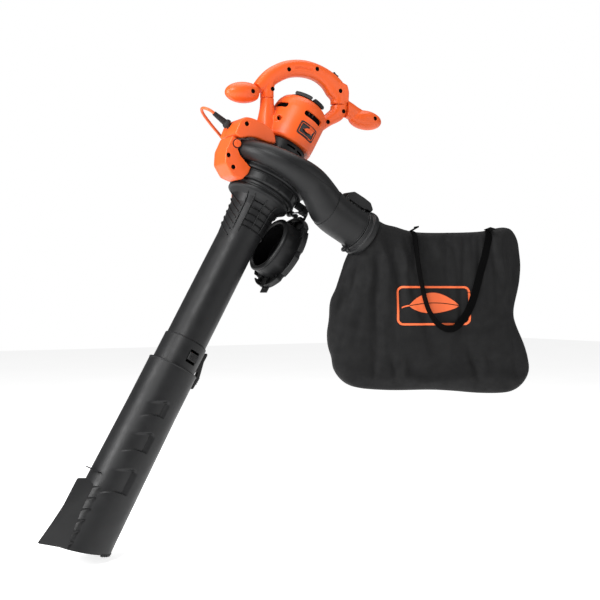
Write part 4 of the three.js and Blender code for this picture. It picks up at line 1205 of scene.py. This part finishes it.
# Each crease: its line in the bag's frame, its half width, and its height, which is negative in a hollow.
FOLD_SCALE = 1.7
CREASES = [
    ([(22, 0), (40, -60), (48, -130), (46, -190)], 11, 6),
    ([(44, -4), (66, -60), (78, -120), (74, -170)], 9, -5),
    ([(60, 4), (92, -50), (104, -110)], 11, 5),
    ([(4, -40), (4, -100), (-16, -170)], 12, 5),
    ([(-20, -60), (-30, -120), (-50, -180)], 10, -4),
    ([(110, 0), (130, -40), (150, -70)], 10, -3.5),
    ([(150, 2), (166, -34), (196, -64)], 12, 4),
    ([(186, 4), (196, -20), (214, -40)], 8, -3.5),
    ([(330, 10), (330, -60), (346, -120)], 14, 5),
    ([(306, 8), (318, -50), (322, -110)], 9, -4),
    ([(384, -30), (356, -110), (352, -170)], 12, -4),
    ([(-70, -296), (40, -300), (150, -318), (262, -300), (370, -312)], 18, -5),
    ([(-50, -326), (60, -334), (170, -344), (280, -334), (380, -340)], 12, 4),
    ([(56, -282), (66, -320), (64, -350)], 8, -4),
    ([(84, -290), (90, -330)], 9, 3.5),
    ([(246, -272), (262, -316), (266, -356)], 8, -5),
    ([(276, -280), (290, -320)], 9, 4),
    ([(350, -180), (312, -210), (260, -222)], 12, -3.5),
    ([(-60, -210), (-20, -226), (30, -222)], 13, 3),
]


def folds(bag):
    """The creases the cloth hangs in, fanned from the collar and gathered along the bottom."""
    into = BAG_FRAME.inverted()
    outward = BAG_FRAME.to_3x3()
    moved = []
    for v in bag.data.vertices:
        x, y, z = into @ v.co
        side = -1 if y < 0 else 1
        across = min(1, abs(y) / 26)
        drift = 9 * noise.noise(Vector((x / 70, side * 3, z / 70)))
        depth = FOLD_SCALE * sum(crease(x + drift, z + drift, *fold) for fold in CREASES)
        depth += 1.8 * noise.noise(Vector((x / 40, side * 7, z / 55)))
        moved.append(v.co + outward @ Vector((0, side * depth * across, 0)))
    for v, place in zip(bag.data.vertices, moved):
        v.co = place
    return bag


def make_bag():
    bag = bag_blank()
    settle(bag)
    folds(bag)
    smooth = bag.modifiers.new("soften", "SMOOTH")
    smooth.factor = 0.5
    smooth.iterations = 2
    finer = bag.modifiers.new("finer", "SUBSURF")
    finer.levels = 1
    applied(bag)
    collar_room = turned("room", [(0, -32), (47, -32), (47, 12), (0, 12)], TOOL, 96, 0,
                         at=(228, DUCT_V, DUCT_W), along=(1, 0, 0))
    carve(bag, [collar_room])
    bag.name = "bag_cloth"
    dressed(bag, "blower", CLOTH, ["collection_bag"], sharp=60)
    return bag


def front_of(bag):
    """Gives the point on the bag's near face over a place in the bag's frame."""
    tree = BVHTree.FromPolygons([v.co.copy() for v in bag.data.vertices],
                                [tuple(p.vertices) for p in bag.data.polygons])
    forward = (BAG_FRAME.to_3x3() @ Vector((0, 1, 0))).normalized()

    def place(x, z, lift):
        start = BAG_FRAME @ Vector((x, -200, z))
        hit = tree.ray_cast(start, forward)[0]
        found = hit if hit is not None else BAG_FRAME @ Vector((x, -50, z))
        return found - forward * lift * MM
    return place


def make_bag_mark(place):
    def at(x, y, lift):
        return place(158 + x, -165 + y, lift)
    make_mark("bag_mark", at, 180, 92, 15, 5, 1.1, "blower", PRINT)


STRAP_ROUTE = [(112, 20), (115, -4), (117, -30), (118, -58), (120, -84), (125, -116), (132, -148),
               (143, -178), (158, -202), (176, -216), (194, -220), (210, -215), (226, -201), (241, -178),
               (255, -147), (266, -112), (275, -84), (284, -56), (292, -28), (299, -4), (304, 19)]


def make_strap(place):
    """A loop of webbing: edge-on down the left, and turning flat up the right."""
    route = spline(STRAP_ROUTE, 5)
    count = len(route)
    vertices, faces = [], []
    half, thick = 9.5, 0.8
    for i, (x, z) in enumerate(route):
        t = i / (count - 1)
        ahead, behind = route[min(i + 1, count - 1)], route[max(i - 1, 0)]
        along = Vector((ahead[0] - behind[0], 0, ahead[1] - behind[1])).normalized()
        stand = BAG_FRAME.inverted() @ place(x, z, 0)
        turn = max(0, min(1, (t - 0.34) / 0.3))
        twist = math.radians(72 - 60 * turn * turn * (3 - 2 * turn) + 5 * math.sin(7 * t))
        lean = Vector((along.z, 0, -along.x))
        across = lean * math.cos(twist) + Vector((0, 1, 0)) * math.sin(twist)
        normal = along.cross(across).normalized()
        middle = Vector((x, stand.y - 2.0 - abs(math.sin(twist)) * half, z))
        for a, n in ((-1, -1), (-0.5, -1.15), (0, -1.2), (0.5, -1.15), (1, -1),
                     (1, 1), (0.5, 1.15), (0, 1.2), (-0.5, 1.15), (-1, 1)):
            vertices.append(middle + across * a * half + normal * n * thick)
    for i in range(count - 1):
        for k in range(10):
            a, b = i * 10 + k, i * 10 + (k + 1) % 10
            faces.append((a, b, b + 10, a + 10))
    faces += [tuple(range(10)), tuple(range((count - 1) * 10, count * 10))]
    strap = mesh_object("strap", vertices, faces, BAG_FRAME)
    dressed(strap, "blower", WEBBING, ["bag_strap"])


# ------------------------------------------------------------------ carried-over CAD nodes
def dress_cad():
    finishes = {
        "screw_": DARK_STEEL, "motor_shaft": STEEL, "armature_core": STACK, "stator_core": STACK,
        "commutator": COPPER, "field_coil": COPPER, "bearing": STEEL, "brush_holder": RUBBER,
        "fan_impeller": DARK_STEEL, "impeller_nut": STEEL, "switch_block": RUBBER,
        "bag_lever_pin": STEEL, "inlet_cover_pin": STEEL,
    }
    for name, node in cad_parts.items():
        if node.hide_render:
            continue
        for start, material in finishes.items():
            if name.startswith(start):
                node.data.materials.clear()
                node.data.materials.append(material)
                node.data.set_sharp_from_angle(angle=math.radians(40))


# ------------------------------------------------------------------ stage
def area_light(name, place, target, size, power, colour=(1, 1, 1)):
    data = bpy.data.lights.new(name, "AREA")
    data.shape = "RECTANGLE"
    data.size, data.size_y = size
    data.energy = power
    data.color = colour
    light = bpy.data.objects.new(name, data)
    light.location = place
    light.rotation_euler = (Vector(target) - Vector(place)).to_track_quat("-Z", "Y").to_euler()
    bpy.context.scene.collection.objects.link(light)


AMBIENT = 0.2


def make_stage():
    floor = mesh_object("floor", [(-9, -9, -1.112), (9, -9, -1.112), (9, 9, -1.112), (-9, 9, -1.112)],
                        [(0, 1, 2, 3)], Matrix.Identity(4))
    shader = Shader("studio_floor", (0.9, 0.9, 0.9), 0.9)
    shader.link(shader.colours(shader.noise(3), (0.88, 0.88, 0.88), (0.92, 0.92, 0.92)),
                shader.principled.inputs["Base Color"])
    shader.principled.inputs["Specular IOR Level"].default_value = 0.0
    shader.principled.inputs["Emission Color"].default_value = (1, 1, 1, 1)
    shader.principled.inputs["Emission Strength"].default_value = 0.72
    floor.data.materials.append(shader.material)
    world = bpy.data.worlds.new("studio")
    world.use_nodes = True
    world.node_tree.nodes["Background"].inputs["Color"].default_value = (1, 1, 1, 1)
    nodes, links = world.node_tree.nodes, world.node_tree.links
    seen = nodes.new("ShaderNodeLightPath")
    strength = nodes.new("ShaderNodeMapRange")
    strength.inputs["To Min"].default_value = AMBIENT
    strength.inputs["To Max"].default_value = 1.0
    links.new(seen.outputs["Is Camera Ray"], strength.inputs["Value"])
    links.new(strength.outputs["Result"], nodes["Background"].inputs["Strength"])
    bpy.context.scene.world = world
    bpy.context.scene.view_settings.view_transform = "Standard"
    area_light("key", (-1.9, -1.6, 1.5), (0, 0, -0.35), (1.0, 1.0), 52)
    area_light("fill", (1.6, -2.2, 0.4), (0.1, 0, -0.5), (1.4, 1.4), 9)
    area_light("side", (-2.3, -0.1, 0.1), (0.2, 0, -0.5), (0.7, 1.4), 46)
    area_light("top", (0.2, 0.2, 2.2), (0, 0, -0.4), (2.4, 2.4), 46)


make_arch()
make_grips()
make_housing()
make_pod()
make_dial()
make_screw_shade_sleeves()
make_gland()
make_badge()
make_motor_mount()
make_vent_cap()
make_scroll()
make_duct()
make_collar()
make_lever()
make_inlet_cover()
make_upper_tube()
make_lower_tube()
make_tube_lock()
make_tube_latch()
make_rake()
make_switch()
cloth_bag = make_bag()
bag_front = front_of(cloth_bag)
make_bag_mark(bag_front)
make_strap(bag_front)
dress_cad()
make_stage()

bpy.context.view_layer.update()
